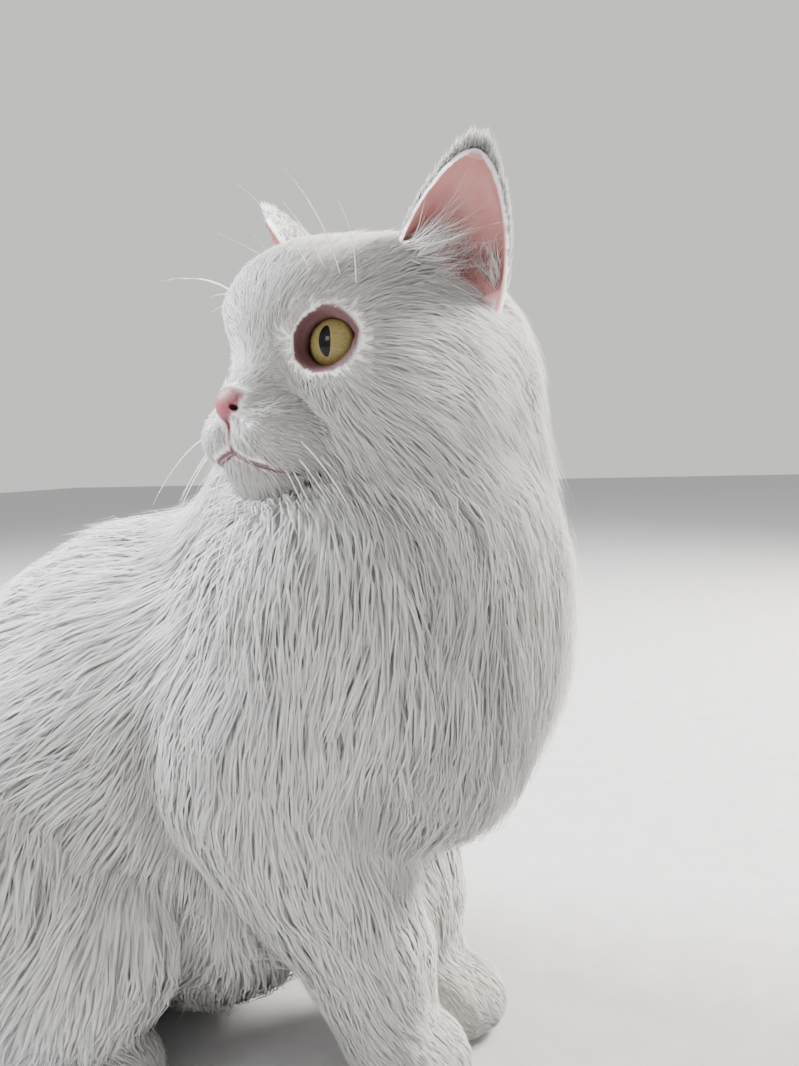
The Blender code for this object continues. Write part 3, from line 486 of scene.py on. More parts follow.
def from_faces(name, points, faces):
    """An object from points and faces of any number of corners, its normals pointing out."""
    mesh = bpy.data.meshes.new(name)
    mesh.from_pydata(np.asarray(points).tolist(), [], [list(map(int, face)) for face in faces])
    work = bmesh.new()
    work.from_mesh(mesh)
    bmesh.ops.recalc_face_normals(work, faces=work.faces)
    work.to_mesh(mesh)
    work.free()
    mesh.shade_smooth()
    return add_object(name, mesh)


def read_rows(collection, key, width, kind=np.float32):
    """One property of everything in a mesh's collection, as rows of an array."""
    values = np.zeros(len(collection) * width, kind)
    collection.foreach_get(key, values)
    return values.reshape(-1, width)


def points_of(subject):
    return read_rows(subject.data.vertices, "co", 3).astype(float)


def set_values(subject, key, values):
    layer = subject.data.attributes.new(key, "FLOAT", "POINT")
    layer.data.foreach_set("value", values.astype(np.float32))


def tree_of(points, numbers=None):
    """A search tree over points, which gives each by its number."""
    tree = KDTree(len(points))
    for number, point in zip(range(len(points)) if numbers is None else numbers, points):
        tree.insert(point, number)
    tree.balance()
    return tree


def boolean(subject, operation, other):
    """Joins or cuts with another object, which is then removed."""
    modifier = subject.modifiers.new(operation.lower(), "BOOLEAN")
    modifier.operation, modifier.solver, modifier.object = operation, "MANIFOLD", other
    bpy.context.view_layer.update()
    graph = bpy.context.evaluated_depsgraph_get()
    mesh = bpy.data.meshes.new_from_object(subject.evaluated_get(graph))
    subject.modifiers.clear()
    subject.data = mesh
    bpy.data.objects.remove(other)
    return subject


def loft(name, rings):
    """A closed solid through rings of equally many points, with flat ends."""
    count = len(rings[0])
    faces = [tuple(range(count))[::-1], tuple(range((len(rings) - 1) * count, len(rings) * count))]
    for ring in range(len(rings) - 1):
        for k in range(count):
            a, b = ring * count + k, ring * count + (k + 1) % count
            faces.append((a, b, b + count, a + count))
    return from_faces(name, np.concatenate(rings), faces)


def half_space(point, normal):
    """A cube of a metre with one face through point, lying on the side that normal points to."""
    work = bmesh.new()
    bmesh.ops.create_cube(work, size=1.0)
    mesh = finished_mesh("half", work)
    way = Vector(unit(vec(*normal)))
    mesh.transform(way.to_track_quat("Z", "Y").to_matrix().to_4x4())
    mesh.transform(Matrix.Translation(Vector(point) + way * 0.5))
    return add_object("half", mesh)


# The mouth, the groove under the nose and the nostrils: as in the solids, but finer
MOUTH_HEIGHT = -0.0318
MOUTH_DROP = 0.0072
MOUTH_TURN = 66.0
MOUTH_DEPTH = 0.0026
MOUTH_SECTIONS = 25
LIP_GAP = 0.0009
JAW_MIDDLE = 0.028
GROOVE_TOP = -0.0215       # where the groove under the nose starts
GROOVE_HALF = 0.0004
GROOVE_DEPTH = 0.0012
NOSTRIL = (0.0598, 0.0049, -0.0170)
NOSTRIL_RADII = (0.0026, 0.0019, 0.0012)
NOSTRIL_SLANT = 18.0
REACH_STEPS = 22           # halvings of the distance when the skin is looked for


def surface_reach(start, way, far=0.05):
    """How far from a point inside the flesh the shown skin lies."""
    near = 0.0
    for _ in range(REACH_STEPS):
        middle = (near + far) / 2
        if skin_field((start + way * middle)[None])[0] < 0:
            near = middle
        else:
            far = middle
    return near


def groove_ring(start, way, across, half, depth):
    """A thin rectangle that stands in the surface, to a depth below it."""
    reach = surface_reach(start, way)
    low, high = start + way * (reach - depth), start + way * (reach + 0.003)
    return np.array([low - across * half, high - across * half, high + across * half, low + across * half])


def mouth_line(share):
    """Where the mouth is at a share of the way from its middle to a corner: start, direction out."""
    angle, out = math.radians(MOUTH_TURN) * share, abs(share)
    height = MOUTH_HEIGHT - MOUTH_DROP * math.sin(min(out / 0.80, 1.10) * math.pi / 2)
    return on_head(JAW_MIDDLE, 0, height), head_way(math.cos(angle), math.sin(angle), 0)


def mouth_cutter():
    rings = []
    for share in np.linspace(-1, 1, MOUTH_SECTIONS):
        start, way = mouth_line(share)
        half = LIP_GAP * (1 - 0.5 * abs(share)) / 2
        depth = MOUTH_DEPTH * (1 - 0.8 * abs(share) ** 3)
        rings.append(groove_ring(start, way, head_way(0, 0, 1), half, depth))
    return loft("mouth", rings)


def philtrum_cutter():
    rings = []
    for height in np.linspace(GROOVE_TOP, MOUTH_HEIGHT, 7):
        start = on_head(JAW_MIDDLE, 0, height)
        rings.append(groove_ring(start, head_way(1, 0, 0), head_way(0, 1, 0), GROOVE_HALF, GROOVE_DEPTH))
    return loft("philtrum", rings)


def nostril_cutter(side):
    work = bmesh.new()
    bmesh.ops.create_icosphere(work, subdivisions=3, radius=1.0)
    mesh = finished_mesh("nostril", work)
    mesh.transform(Matrix.Diagonal((*NOSTRIL_RADII, 1.0)))
    mesh.transform(Matrix.Rotation(math.radians(-NOSTRIL_SLANT * side), 4, "X"))
    mesh.transform(Matrix(HEAD.tolist()).to_4x4())
    mesh.transform(Matrix.Translation(on_head(*mirrored(NOSTRIL, side))))
    return add_object("nostril", mesh)


def ear_axes(side):
    """Columns are the ear's up, open and sideways directions, in the head's frame."""
    up = unit(mirrored(EAR_UP, side))
    ahead = mirrored(EAR_OPEN, side)
    ahead = unit(ahead - up * (ahead @ up))
    return np.stack([up, ahead, np.cross(up, ahead)], axis=1)


def ear_base(side):
    return on_head(*mirrored(EAR_BASE, side))


def in_ear(points, side):
    """Height over the ear's base, distance ahead and sideways of its middle."""
    return (points - ear_base(side)) @ (HEAD @ ear_axes(side))


EAR_SIDES = 48
EAR_BACK = -0.002          # how far behind its base the middle of the ear's outer shell lies


def ear_ring(side, height, half, deep, ahead):
    """An oval across one ear, as a ring of points."""
    turn = np.linspace(0, 2 * math.pi, EAR_SIDES, endpoint=False)
    local = np.stack([np.full(EAR_SIDES, height), ahead + deep * np.cos(turn), half * np.sin(turn)], axis=1)
    return ear_base(side) + local @ (HEAD @ ear_axes(side)).T


def ear_half(height):
    """Half the width of the ear's rounded triangle at a height over its base."""
    share = min(max(height / EAR_HEIGHT, 0.0), 1.0)
    return EAR_HALF_WIDTH * (1 - share ** 1.6) ** 0.62 + 0.0012


def ear_halves(heights):
    return np.array([ear_half(height) for height in heights])


def build_ear(side):
    """The thin cup of one ear, open ahead."""
    outer, cup = [], []
    for height in np.concatenate([np.linspace(-EAR_ROOT, 0.034, 14), np.linspace(0.036, EAR_HEIGHT, 9)]):
        half = ear_half(height)
        outer.append(ear_ring(side, height, half, half * EAR_DEPTH, EAR_BACK))
    for height in np.concatenate([np.linspace(EAR_CUP_BOTTOM, 0.034, 12), np.linspace(0.036, 0.0438, 7)]):
        half = ear_half(height) - EAR_THICKNESS * (1.5 - 0.5 * height / EAR_HEIGHT)
        half *= min(1.0, 0.55 + 0.45 * (height - EAR_CUP_BOTTOM) / 0.007)
        cup.append(ear_ring(side, height, half, half * EAR_DEPTH + 0.004, EAR_RIM))
    ear = boolean(loft("ear", outer), "DIFFERENCE", loft("cup", cup))
    ahead = HEAD @ ear_axes(side)[:, 1]
    return boolean(ear, "DIFFERENCE", half_space(ear_base(side) + ahead * EAR_RIM, ahead))


HEAD_CELL = 0.0011
BODY_CELL = 0.0038
COLLAR = (vec(0.045, 0, 0.226), vec(0.10, 0, 0.99))  # where the fine skin of the head meets the body's
COLLAR_LAP = 0.002


def build_skin():
    """One closed skin over the whole cat, fine on the head, with grooves and ears."""
    body = surface_mesh("skin", skin_field, (-0.25, -0.18, -0.01), (0.14, 0.17, 0.245), BODY_CELL)
    head = surface_mesh("head", face_field, (-0.03, -0.10, 0.205), (0.13, 0.075, 0.335), HEAD_CELL)
    point, normal = COLLAR
    boolean(body, "DIFFERENCE", half_space(point + unit(normal) * COLLAR_LAP, normal))
    boolean(head, "DIFFERENCE", half_space(point, -normal))
    for cutter in (mouth_cutter(), philtrum_cutter(), nostril_cutter(1), nostril_cutter(-1)):
        boolean(head, "DIFFERENCE", cutter)
    for _, side in SIDES:
        boolean(head, "UNION", build_ear(side))
    boolean(body, "UNION", head)
    body.data.shade_smooth()
    return body


def unwrap(subject):
    """Lays the skin out flat in a map, which its tufts share."""
    bpy.context.view_layer.objects.active = subject
    for other in bpy.context.selected_objects:
        other.select_set(False)
    subject.select_set(True)
    subject.data.uv_layers.new(name="OFBake")
    bpy.ops.object.mode_set(mode="EDIT")
    bpy.ops.mesh.select_all(action="SELECT")
    bpy.ops.uv.smart_project(angle_limit=math.radians(66), island_margin=0.002)
    bpy.ops.object.mode_set(mode="OBJECT")


def group_reach(points, name):
    """Distance to the nearest mass of one group."""
    nearest = 1.0
    for mass in FLESH[name]:
        nearest = np.minimum(nearest, mass.distance(points))
    return nearest


# Where the coat stands higher than the masses say: place, height and reach
FLUFFS = [(on_head(*(mirrored(EAR_BASE, side) + vec(0.014, -side * 0.012, 0.004))), 0.006, 0.016)
          for _, side in SIDES]
FLUFFS += [(vec(0.090, 0.000, 0.185), 0.004, 0.030), (vec(0.060, -0.020, 0.225), 0.004, 0.030),
           (vec(0.096, 0.018, 0.116), -0.009, 0.034)]


def fluff(points):
    """How much higher the tips of the coat stand at each point."""
    return sum(height * np.exp(-np.sum((points - place) ** 2, axis=-1) / reach ** 2)
               for place, height, reach in FLUFFS)


class FieldGrid:
    """The flesh's distance, coat, way out and lie on a grid, read between its points."""

    def __init__(self, low, high, cell):
        self.low, self.cell = vec(*low), cell
        axes = [np.arange(a, b + cell, cell) for a, b in zip(low, high)]
        parts = [flesh_field(part) for part in np.array_split(grid_points(axes), 12)]
        flesh, coat, lie = (np.concatenate([part[k] for part in parts]) for k in range(3))
        out = rows(np.stack(np.gradient(flesh, cell), axis=-1))
        self.table = np.concatenate([flesh[..., None], coat[..., None], out, rows(lie)], axis=-1)

    def read(self, points):
        """Distance, coat, way out and lie at each point."""
        place = (points - self.low) / self.cell
        base = np.clip(place.astype(int), 0, np.array(self.table.shape[:3]) - 2)
        share = np.clip(place - base, 0, 1)
        total = 0
        for corner in np.ndindex(2, 2, 2):
            weight = 1
            for axis, ahead in enumerate(corner):
                weight = weight * (share[:, axis] if ahead else 1 - share[:, axis])
            total = total + weight[:, None] * self.table[tuple((base + corner).T)]
        return total[:, 0], total[:, 1], rows(total[:, 2:5]), rows(total[:, 5:8])


def waves(points, length, phase):
    """A smooth wandering number from about -1 to 1, for turning and lifting hair alike in one place."""
    k = 2 * math.pi / length
    x, y, z = points[:, 0] * k, points[:, 1] * k, points[:, 2] * k
    return (np.sin(x + 1.3 * y + phase) + np.sin(1.1 * y - 1.4 * z + 2 * phase)
            + np.sin(0.9 * z + 1.2 * x + 3 * phase)) / 3


# How the coat grows, for a coat of DEEP metres and less in proportion where it is shorter
DEEP = 0.022
TUFTS_PER_M2 = 0.36e6
MOST_PER_M2 = 3.0e6
DENSITY_POWER = 1.25
HEAD_REACH = 1.75          # length of a tuft on the head, as a share of the coat's depth
BODY_REACH = 2.2           # and elsewhere
TUFT_WIDTH = 0.00105
WIDTH_POWER = 0.60
TUFT_THICKNESS = 0.22      # as a share of its width
LONG_COAT = 0.023          # a tuft of a deeper coat has one section more
# For a long and a short tuft: where its sections are, how far it has climbed there, and how wide it is
RINGS = {True: (0.0, 0.34, 0.70, 1.0), False: (0.0, 0.50, 1.0)}
RISES = {True: (-0.12, 0.62, 0.95, 1.0), False: (-0.20, 0.80, 1.0)}
TAPERS = {True: (0.75, 1.0, 0.62), False: (0.85, 0.75)}
LAYERS = (0.62, 1.09)      # how far up in the coat the tips of the lowest and highest tufts reach
LAYER_POWER = 0.8
FLYAWAY_SHARE = 0.13       # share of the tufts that stand out from the coat
FLYAWAY_RISE = 0.20        # how much higher they stand, as a share of the coat
FLYAWAY_WIDTH = 0.45       # their width as a share of the others'
DROOP = 0.22               # how strongly gravity turns the lie down
CLUMP = 12                 # about how many tufts share one lock
CLUMP_PULL = {True: (0.0, 0.08, 0.28, 0.50), False: (0.0, 0.12, 0.40)}  # how far a lock draws them in
LEAST_HEIGHT = 0.0006      # of a tuft over the floor
BARE_LIMIT = 0.5           # skin that is barer than this grows no tufts
FLOOR_LIMIT = 0.0012       # nor does skin that lies lower than this
MOST_TUFTS = {True: 12400, False: 19800}  # in one piece
REGION_DENSITY = {"face": 0.85, "head": 1.85, "ruff": 2.6, "chest": 2.5, "forelegs": 0.44, "back": 0.66,
                  "hind_legs": 0.27, "tail": 0.55}
HEAD_REGIONS = ("face", "head")
CHEST_START = 0.020        # the back's coat ahead of this belongs to the chest
FACE_START = 0.006         # the head's coat ahead of this belongs to the face
GUARD_REACH = 0.024        # the lie turns aside this near the axis of an eye
GUARD_FADE = 0.010
SHORT_SHARE = 0.16         # of its length is left to the hair next to the lids
SHORT_RING = (0.0075, 0.0185)  # it grows to its full length between these distances from the eye's axis


def beside_eye(points, side):
    """The offset of each point from the axis of one eye, and how far ahead of the eye's middle it is."""
    look = eye_look(side)
    away = points - on_head(*eye_centre(side))
    ahead = away @ look
    return away - look * ahead[:, None], ahead


def eye_guard(points, lie):
    """Turns the lie aside where it would run over an eye."""
    for _, side in SIDES:
        away, ahead = beside_eye(points, side)
        gap = np.linalg.norm(away, axis=1)
        away = rows(away)
        facing = (ahead > -0.002) & (gap < GUARD_REACH)
        say = np.where(facing, np.clip((GUARD_REACH - gap) / GUARD_FADE, 0, 1), 0)[:, None]
        inward = np.minimum(dots(lie, away), 0)
        lie = lie + say * away * (0.35 - inward)
    return rows(lie)


def eye_short(points):
    """How long the hair is round the eyes, as a share of what it would be."""
    share = np.ones(len(points))
    for _, side in SIDES:
        away, ahead = beside_eye(points, side)
        near = SHORT_SHARE + (1 - SHORT_SHARE) * place_on(np.linalg.norm(away, axis=1), *SHORT_RING)
        share = np.minimum(share, np.where((ahead > 0) & (ahead < 0.03), near, 1.0))
    return share


def region_of(points):
    """The name of the region that each point belongs to."""
    reach = np.stack([group_reach(points, name) for name in FLESH])
    chosen = np.array(list(FLESH), dtype="U12")[np.argmin(reach, axis=0)]
    chosen[(chosen == "back") & (points[:, 0] > CHEST_START)] = "chest"
    chosen[(chosen == "head") & (in_head(points)[:, 0] > FACE_START)] = "face"
    return chosen


def skin_samples(subject, grid, rng, bare):
    """Roots spread over the skin, closer where the coat is short, with their place on its map."""
    mesh = subject.data
    mesh.calc_loop_triangles()
    corners = read_rows(mesh.loop_triangles, "vertices", 3, np.int32)
    loops = read_rows(mesh.loop_triangles, "loops", 3, np.int32)
    places = read_rows(mesh.uv_layers["OFBake"].uv, "vector", 2)
    points = points_of(subject)[corners]
    area = np.linalg.norm(np.cross(points[:, 1] - points[:, 0], points[:, 2] - points[:, 0]), axis=1) / 2
    middle = points.mean(axis=1)
    _, coat, _, _ = grid.read(middle)
    density = np.minimum(TUFTS_PER_M2 * (DEEP / np.maximum(coat, 0.001)) ** DENSITY_POWER, MOST_PER_M2)
    regions = region_of(middle)
    for region, share in REGION_DENSITY.items():
        density[regions == region] *= share
    density[(bare[corners].mean(axis=1) > BARE_LIMIT) | (middle[:, 2] < FLOOR_LIMIT)] = 0
    count = rng.poisson((area * density).sum())
    chosen = rng.choice(len(area), size=count, p=area * density / (area * density).sum())
    shares = rng.dirichlet((1, 1, 1), size=count)
    roots = np.einsum("nk,nkd->nd", shares, points[chosen])
    maps = np.einsum("nk,nkd->nd", shares, places[loops[chosen]])
    return roots, maps


def grow_paths(roots, grid, rng, long, flies, reach):
    """Points along each tuft, which climbs through the coat while it follows the lie, and its way out."""
    count = len(roots)
    _, coat, _, _ = grid.read(roots)
    short = eye_short(roots)
    lengths = (coat + fluff(roots)) * reach * short * rng.uniform(0.75, 1.25, count)
    layer = rng.uniform(*LAYERS, count) ** LAYER_POWER
    layer = layer + 0.09 * waves(roots, 0.026, 0.7) + 0.08 * waves(roots, 0.060, 1.9)
    layer = layer + flies * FLYAWAY_RISE * rng.uniform(0.2, 1.0, count)
    turn = 0.30 * waves(roots, 0.055, 0.0) + 0.16 * waves(roots, 0.021, 2.0) + rng.normal(0, 0.10, count)
    here, places, outs, last = roots, [], [], 0.0
    for share, rise in zip(RINGS[long], RISES[long]):
        _, _, out, lie = grid.read(here)
        lie = eye_guard(here, lie)
        way = lie + vec(0, 0, -DROOP)
        way = rows(way - out * dots(way, out))
        side = np.cross(out, way)
        way = way * np.cos(turn)[:, None] + side * np.sin(turn)[:, None]
        here = here + way * (lengths * (share - last))[:, None]
        flesh, coat_here, out, _ = grid.read(here)
        lift = (layer - SKIN_SHARE) * rise * (short if rise > 0 else 1.0)
        height = coat_here * (SKIN_SHARE + lift) + fluff(here) * layer * max(rise, 0)
        here = here + out * (height - flesh)[:, None]
        if share == 1.0:
            here = here + rng.normal(0, 0.035, (count, 3)) * lengths[:, None]
        here[:, 2] = np.maximum(here[:, 2], LEAST_HEIGHT)
        places.append(here)
        outs.append(out)
        last = share
    return np.stack(places, axis=1), np.stack(outs, axis=1), coat


def clumped(paths, rng, long):
    """Draws the tips of neighbouring tufts together into locks."""
    guides = np.sort(rng.choice(len(paths), size=max(1, len(paths) // CLUMP), replace=False))
    tree = tree_of(paths[guides, 0])
    leader = guides[np.array([tree.find(root)[1] for root in paths[:, 0]])]
    pull = np.array(CLUMP_PULL[long])[None, :, None] * rng.uniform(0.4, 1.0, (len(paths), 1, 1))
    return paths + (paths[leader] - paths) * pull


EYE_CLEARANCE = 0.0010
LIP_CLEARANCE = 0.0024
SHRINKS = (0.55, 0.45)     # a tuft in the way is shortened by these in turn, and then left out
NOSE_HALF = 0.0070         # half the width of the leather of the nose, across its top
NOSE_NARROW = 0.30         # its width at the bottom, as a share
NOSE_TAPER = (-0.0225, -0.0135)  # it widens between these heights
NOSE_PAD = (0.0565, 0, -0.0160)
NOSE_PAD_RADII = (0.0074, 0.0084, 0.0066)


def nose_masks(local):
    """How far the points in the head's frame are outside the pad of the nose: round it, and to its sides."""
    pad = np.linalg.norm((local - vec(*NOSE_PAD)) / vec(*NOSE_PAD_RADII), axis=-1)
    half = NOSE_HALF * (NOSE_NARROW + (1 - NOSE_NARROW) * place_on(local[..., 2], *NOSE_TAPER))
    return pad, np.abs(local[..., 1]) - half


def lip_tree():
    """The line of the mouth and the groove under the nose, as points on the skin."""
    lines = [mouth_line(share) for share in np.linspace(-1, 1, 81)]
    lines += [(on_head(JAW_MIDDLE, 0, height), head_way(1, 0, 0))
              for height in np.linspace(GROOVE_TOP, MOUTH_HEIGHT, 12)]
    return tree_of([start + way * surface_reach(start, way) for start, way in lines])


def in_the_way(paths, lips):
    """Which tufts reach over an eye, the nose or the lips."""
    local = in_head(paths[:, 1:])
    pad, beside = nose_masks(local)
    over = (pad < 1.0) & (beside < 0)
    for _, side in SIDES:
        reach = eye_reach(local, side) - EYE_RADIUS
        over |= ((lid_opening(local, side) < EYE_CLEARANCE) & (reach < 0.012)) | (reach < 0.0010)
    over |= np.array([[lips.find(spot)[2] < LIP_CLEARANCE for spot in path] for path in paths[:, 1:]])
    return over.any(axis=1)


def clear_of_features(paths, lips):
    """Shortens the tufts that reach over an eye, the nose or the lips, and tells which then stay clear."""
    for shrink in SHRINKS:
        over = in_the_way(paths, lips)[:, None, None]
        paths = np.where(over, paths[:, :1] + (paths - paths[:, :1]) * shrink, paths)
    return paths, ~in_the_way(paths, lips)


def blades(paths, outs, widths, long):
    """Closed three-sided blades along the paths, each ending in a point: points, normals, faces, heights."""
    count, sections = paths.shape[0], paths.shape[1]
    ahead = rows(np.gradient(paths, axis=1))
    across = rows(np.cross(outs, ahead))
    over = np.cross(ahead, across)
    rings, normals, along = [], [], []
    for number, taper in enumerate(TAPERS[long]):
        half = (widths * taper / 2)[:, None]
        spot, side, up = paths[:, number], across[:, number], over[:, number]
        rings += [spot + side * half, spot + up * half * 2 * TUFT_THICKNESS, spot - side * half]
        soft = outs[:, number]
        normals += [rows(soft + side * 0.35), rows(soft), rows(soft - side * 0.35)]
        along += [RINGS[long][number]] * 3
    rings.append(paths[:, -1])
    normals.append(rows(outs[:, -1] + ahead[:, -1] * 0.4))
    along.append(1.0)
    each = 3 * (sections - 1) + 1
    faces = [(0, 2, 1)]
    for ring in range(sections - 2):
        for k in range(3):
            a, b = 3 * ring + k, 3 * ring + (k + 1) % 3
            faces += [(a, b, b + 3), (a, b + 3, a + 3)]
    base, tip = 3 * (sections - 2), each - 1
    faces += [(base + k, base + (k + 1) % 3, tip) for k in range(3)]
    faces = (np.array(faces)[None] + np.arange(count)[:, None, None] * each).reshape(-1, 3)
    points = np.stack(rings, axis=1).reshape(-1, 3)
    points[:, 2] = np.maximum(points[:, 2], LEAST_HEIGHT / 2)
    return (points, np.stack(normals, axis=1).reshape(-1, 3), faces,
            np.tile(np.array(along), count), each)


PATCH = 0.003              # size of a tuft's patch on the skin's map


def coat_object(name, paths, outs, widths, maps, tones, long, material, soft=True):
    """One piece of the coat, shaded as softly as the body under it or each tuft by its own shape."""
    points, normals, faces, along, each = blades(paths, outs, widths, long)
    made = mesh_object(name, points + SHIFT, faces)
    mesh = made.data
    number = np.arange(each)
    corner = np.stack([number % 3 / 2 - 0.5, number // 3 / (each // 3) - 0.5], axis=1)
    place = np.repeat(maps, each, axis=0) + np.tile(corner, (len(paths), 1)) * PATCH
    layer = mesh.uv_layers.new(name="OFBake")
    layer.uv.foreach_set("vector", place[faces.ravel()].astype(np.float32).ravel())
    set_values(made, "along", along)
    set_values(made, "across", np.tile(np.array([1.0, 0.0, -1.0] * (each // 3) + [0.0]), len(paths)))
    set_values(made, "tone", np.repeat(tones, each))
    if soft:
        mesh.normals_split_custom_set_from_vertices(normals.astype(np.float32).tolist())
    mesh.materials.append(material)
    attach(made, "root")


def build_coat(skin, grid, head_grid, bare, material):
    """The coat over the whole skin but the ears, in pieces by region and by the form of the tufts."""
    rng, lips = np.random.default_rng(SEED), lip_tree()
    roots, maps = skin_samples(skin, grid, rng, bare)
    regions = region_of(roots)
    _, coat, _, _ = grid.read(roots)
    for region, density in REGION_DENSITY.items():
        fine, reach = (head_grid, HEAD_REACH) if region in HEAD_REGIONS else (grid, BODY_REACH)
        for long in (True, False):
            chosen = np.flatnonzero((regions == region) & ((coat > LONG_COAT) == long))
            if not len(chosen):
                continue
            flies = rng.uniform(0, 1, len(chosen)) < FLYAWAY_SHARE
            paths, outs, depth = grow_paths(roots[chosen], fine, rng, long, flies, reach)
            paths = clumped(paths, rng, long)
            if region == "face":
                paths, keep = clear_of_features(paths, lips)
                chosen, paths, outs = chosen[keep], paths[keep], outs[keep]
                depth, flies = depth[keep], flies[keep]
            widths = TUFT_WIDTH * (depth / DEEP) ** WIDTH_POWER * rng.uniform(0.75, 1.25, len(chosen))
            widths = widths / density ** 0.5 * np.where(flies, FLYAWAY_WIDTH, 1.0)
            tones = rng.uniform(0, 1, len(chosen))
            parts = np.array_split(np.arange(len(chosen)), 1 + len(chosen) // MOST_TUFTS[long])
            for number, part in enumerate(parts):
                name = f"coat_{region}_{'long' if long else 'short'}_{number + 1}"
                coat_object(name, paths[part], outs[part], widths[part], maps[chosen][part], tones[part],
                            long, material)


# Where the bare parts fade into the fur: a mask falls from 1 to 0 between each pair
NOSE_EDGE = (0.95, 1.10)
NOSE_SIDE_EDGE = (0.0, 0.0012)
LIP_EDGE = (0.0012, 0.0024)
NOSTRIL_EDGE = (0.0018, 0.0026)
LID_EDGE = (0.0011, 0.0026)
EAR_EDGE = (0.98, 1.05)
FRECKLE_HEIGHTS = (-0.0175, -0.0120)  # the freckles of the nose start at the first and are full at the second
LID_BARENESS = 0.6         # how bare the rims of the lids are


def lip_mask(points, local):
    """Where the skin is the lips, the groove under the nose or a nostril."""
    tree = lip_tree()
    near = local[:, 0] > 0.01
    gaps = np.ones(len(points))
    gaps[near] = [tree.find(point)[2] for point in points[near]]
    lips = 1 - place_on(gaps, *LIP_EDGE)
    for _, side in SIDES:
        hole = np.linalg.norm(local - mirrored(NOSTRIL, side), axis=1)
        lips = np.maximum(lips, 1 - place_on(hole, *NOSTRIL_EDGE))
    return lips


def eye_masks(local):
    """Where the skin is the rim of the lids, and where it lies inside the opening or the socket."""
    lids, sockets = np.zeros(len(local)), np.zeros(len(local))
    for _, side in SIDES:
        reach, opening = eye_reach(local, side), lid_opening(local, side)
        middle = eye_centre(side)[0]
        inner = 1 + 1.1 * place_on(local[:, 0], middle + 0.003, middle + 0.010)
        rim = (1 - place_on(np.abs(opening) / inner, *LID_EDGE)) * (reach < EYE_RADIUS + 0.0065)
        lids = np.maximum(lids, rim * (local[:, 0] > 0.02))
        socket = (opening < 0.0018) & (reach < EYE_RADIUS + 0.007) & (local[:, 0] > 0.01)
        sockets = np.maximum(sockets, socket | (reach < EYE_RADIUS + 0.0009))
    return lids, sockets


def ear_masks(points):
    """Where the skin is the inside of an ear, and where it is any of an ear, which has fur of its own."""
    inside, shell = np.zeros(len(points)), np.zeros(len(points))
    for _, side in SIDES:
        height, ahead, across = in_ear(points, side).T
        halves = ear_halves(height)
        within = ((ahead - EAR_RIM) / (halves * EAR_DEPTH + 0.0035)) ** 2 + (across / (halves - 0.0009)) ** 2
        near = (height > EAR_CUP_BOTTOM - 0.004) & (height < EAR_HEIGHT)
        inside = np.maximum(inside, near * (1 - place_on(within, *EAR_EDGE)) * (ahead < EAR_RIM + 0.001))
        halves = halves + 0.0012
        reach = ((ahead - EAR_BACK) / (halves * EAR_DEPTH)) ** 2 + (across / halves) ** 2
        shell = np.maximum(shell, (height > 0.006) & (height < EAR_HEIGHT + 0.003) & (reach < 1))
    return inside, shell


class Shader:
    """A small helper to build a material's nodes."""

    def __init__(self, name):
        self.material = bpy.data.materials.new(name)
        self.material.use_nodes = True
        self.tree = self.material.node_tree
        self.surface = self.tree.nodes["Principled BSDF"]

    def feed(self, socket, value):
        """Links an input to an output, or sets it to a number, a vector or a colour."""
        if isinstance(value, bpy.types.NodeSocket):
            self.tree.links.new(value, socket)
        elif socket.type == "RGBA":
            socket.default_value = (*value, 1)
        else:
            socket.default_value = value

    def node(self, kind, inputs=(), **settings):
        """A new node with its settings, and its inputs by name or number."""
        made = self.tree.nodes.new(kind)
        for key, value in settings.items():
            setattr(made, key, value)
        for key, value in dict(inputs).items():
            self.feed(made.inputs[key], value)
        return made

    def attribute(self, key):
        return self.node("ShaderNodeAttribute", attribute_name=key).outputs["Fac"]

    def place(self):
        return self.node("ShaderNodeTexCoord").outputs["Object"]

    def noise(self, scale, detail=3.0, roughness=0.5, vector=None):
        inputs = {"Vector": vector or self.place(), "Scale": scale, "Detail": detail, "Roughness": roughness}
        return self.node("ShaderNodeTexNoise", inputs).outputs["Fac"]

    def ramp(self, value, *stops):
        made = self.node("ShaderNodeValToRGB", {"Fac": value})
        line = made.color_ramp
        while len(line.elements) < len(stops):
            line.elements.new(0.5)
        for element, (place, colour) in zip(line.elements, stops):
            element.position, element.color = place, (*colour, 1)
        return made.outputs["Color"]

    def mix(self, share, first, second, kind="MIX"):
        made = self.node("ShaderNodeMix", data_type="RGBA", blend_type=kind)
        for number, value in ((0, share), (6, first), (7, second)):
            self.feed(made.inputs[number], value)
        return made.outputs[2]

    def tint(self, colour, *others):
        """A colour multiplied by others."""
        for other in others:
            colour = self.mix(1.0, colour, other, "MULTIPLY")
        return colour

    def math(self, operation, first, second=0.0):
        return self.node("ShaderNodeMath", {0: first, 1: second}, operation=operation).outputs[0]

    def times(self, first, second):
        return self.math("MULTIPLY", first, second)

    def squares(self, first, second):
        return self.math("ADD", self.times(first, first), self.times(second, second))

    def combine(self, *parts):
        """A place whose first coordinates are parts."""
        return self.node("ShaderNodeCombineXYZ", enumerate(parts)).outputs[0]

    def bump(self, height, strength, distance):
        made = self.node("ShaderNodeBump", {"Height": height, "Strength": strength, "Distance": distance})
        self.set(Normal=made.outputs["Normal"])

    def paint(self, colour):
        self.set(Base_Color=colour)

    def set(self, **values):
        for key, value in values.items():
            self.feed(self.surface.inputs[key.replace("_", " ")], value)


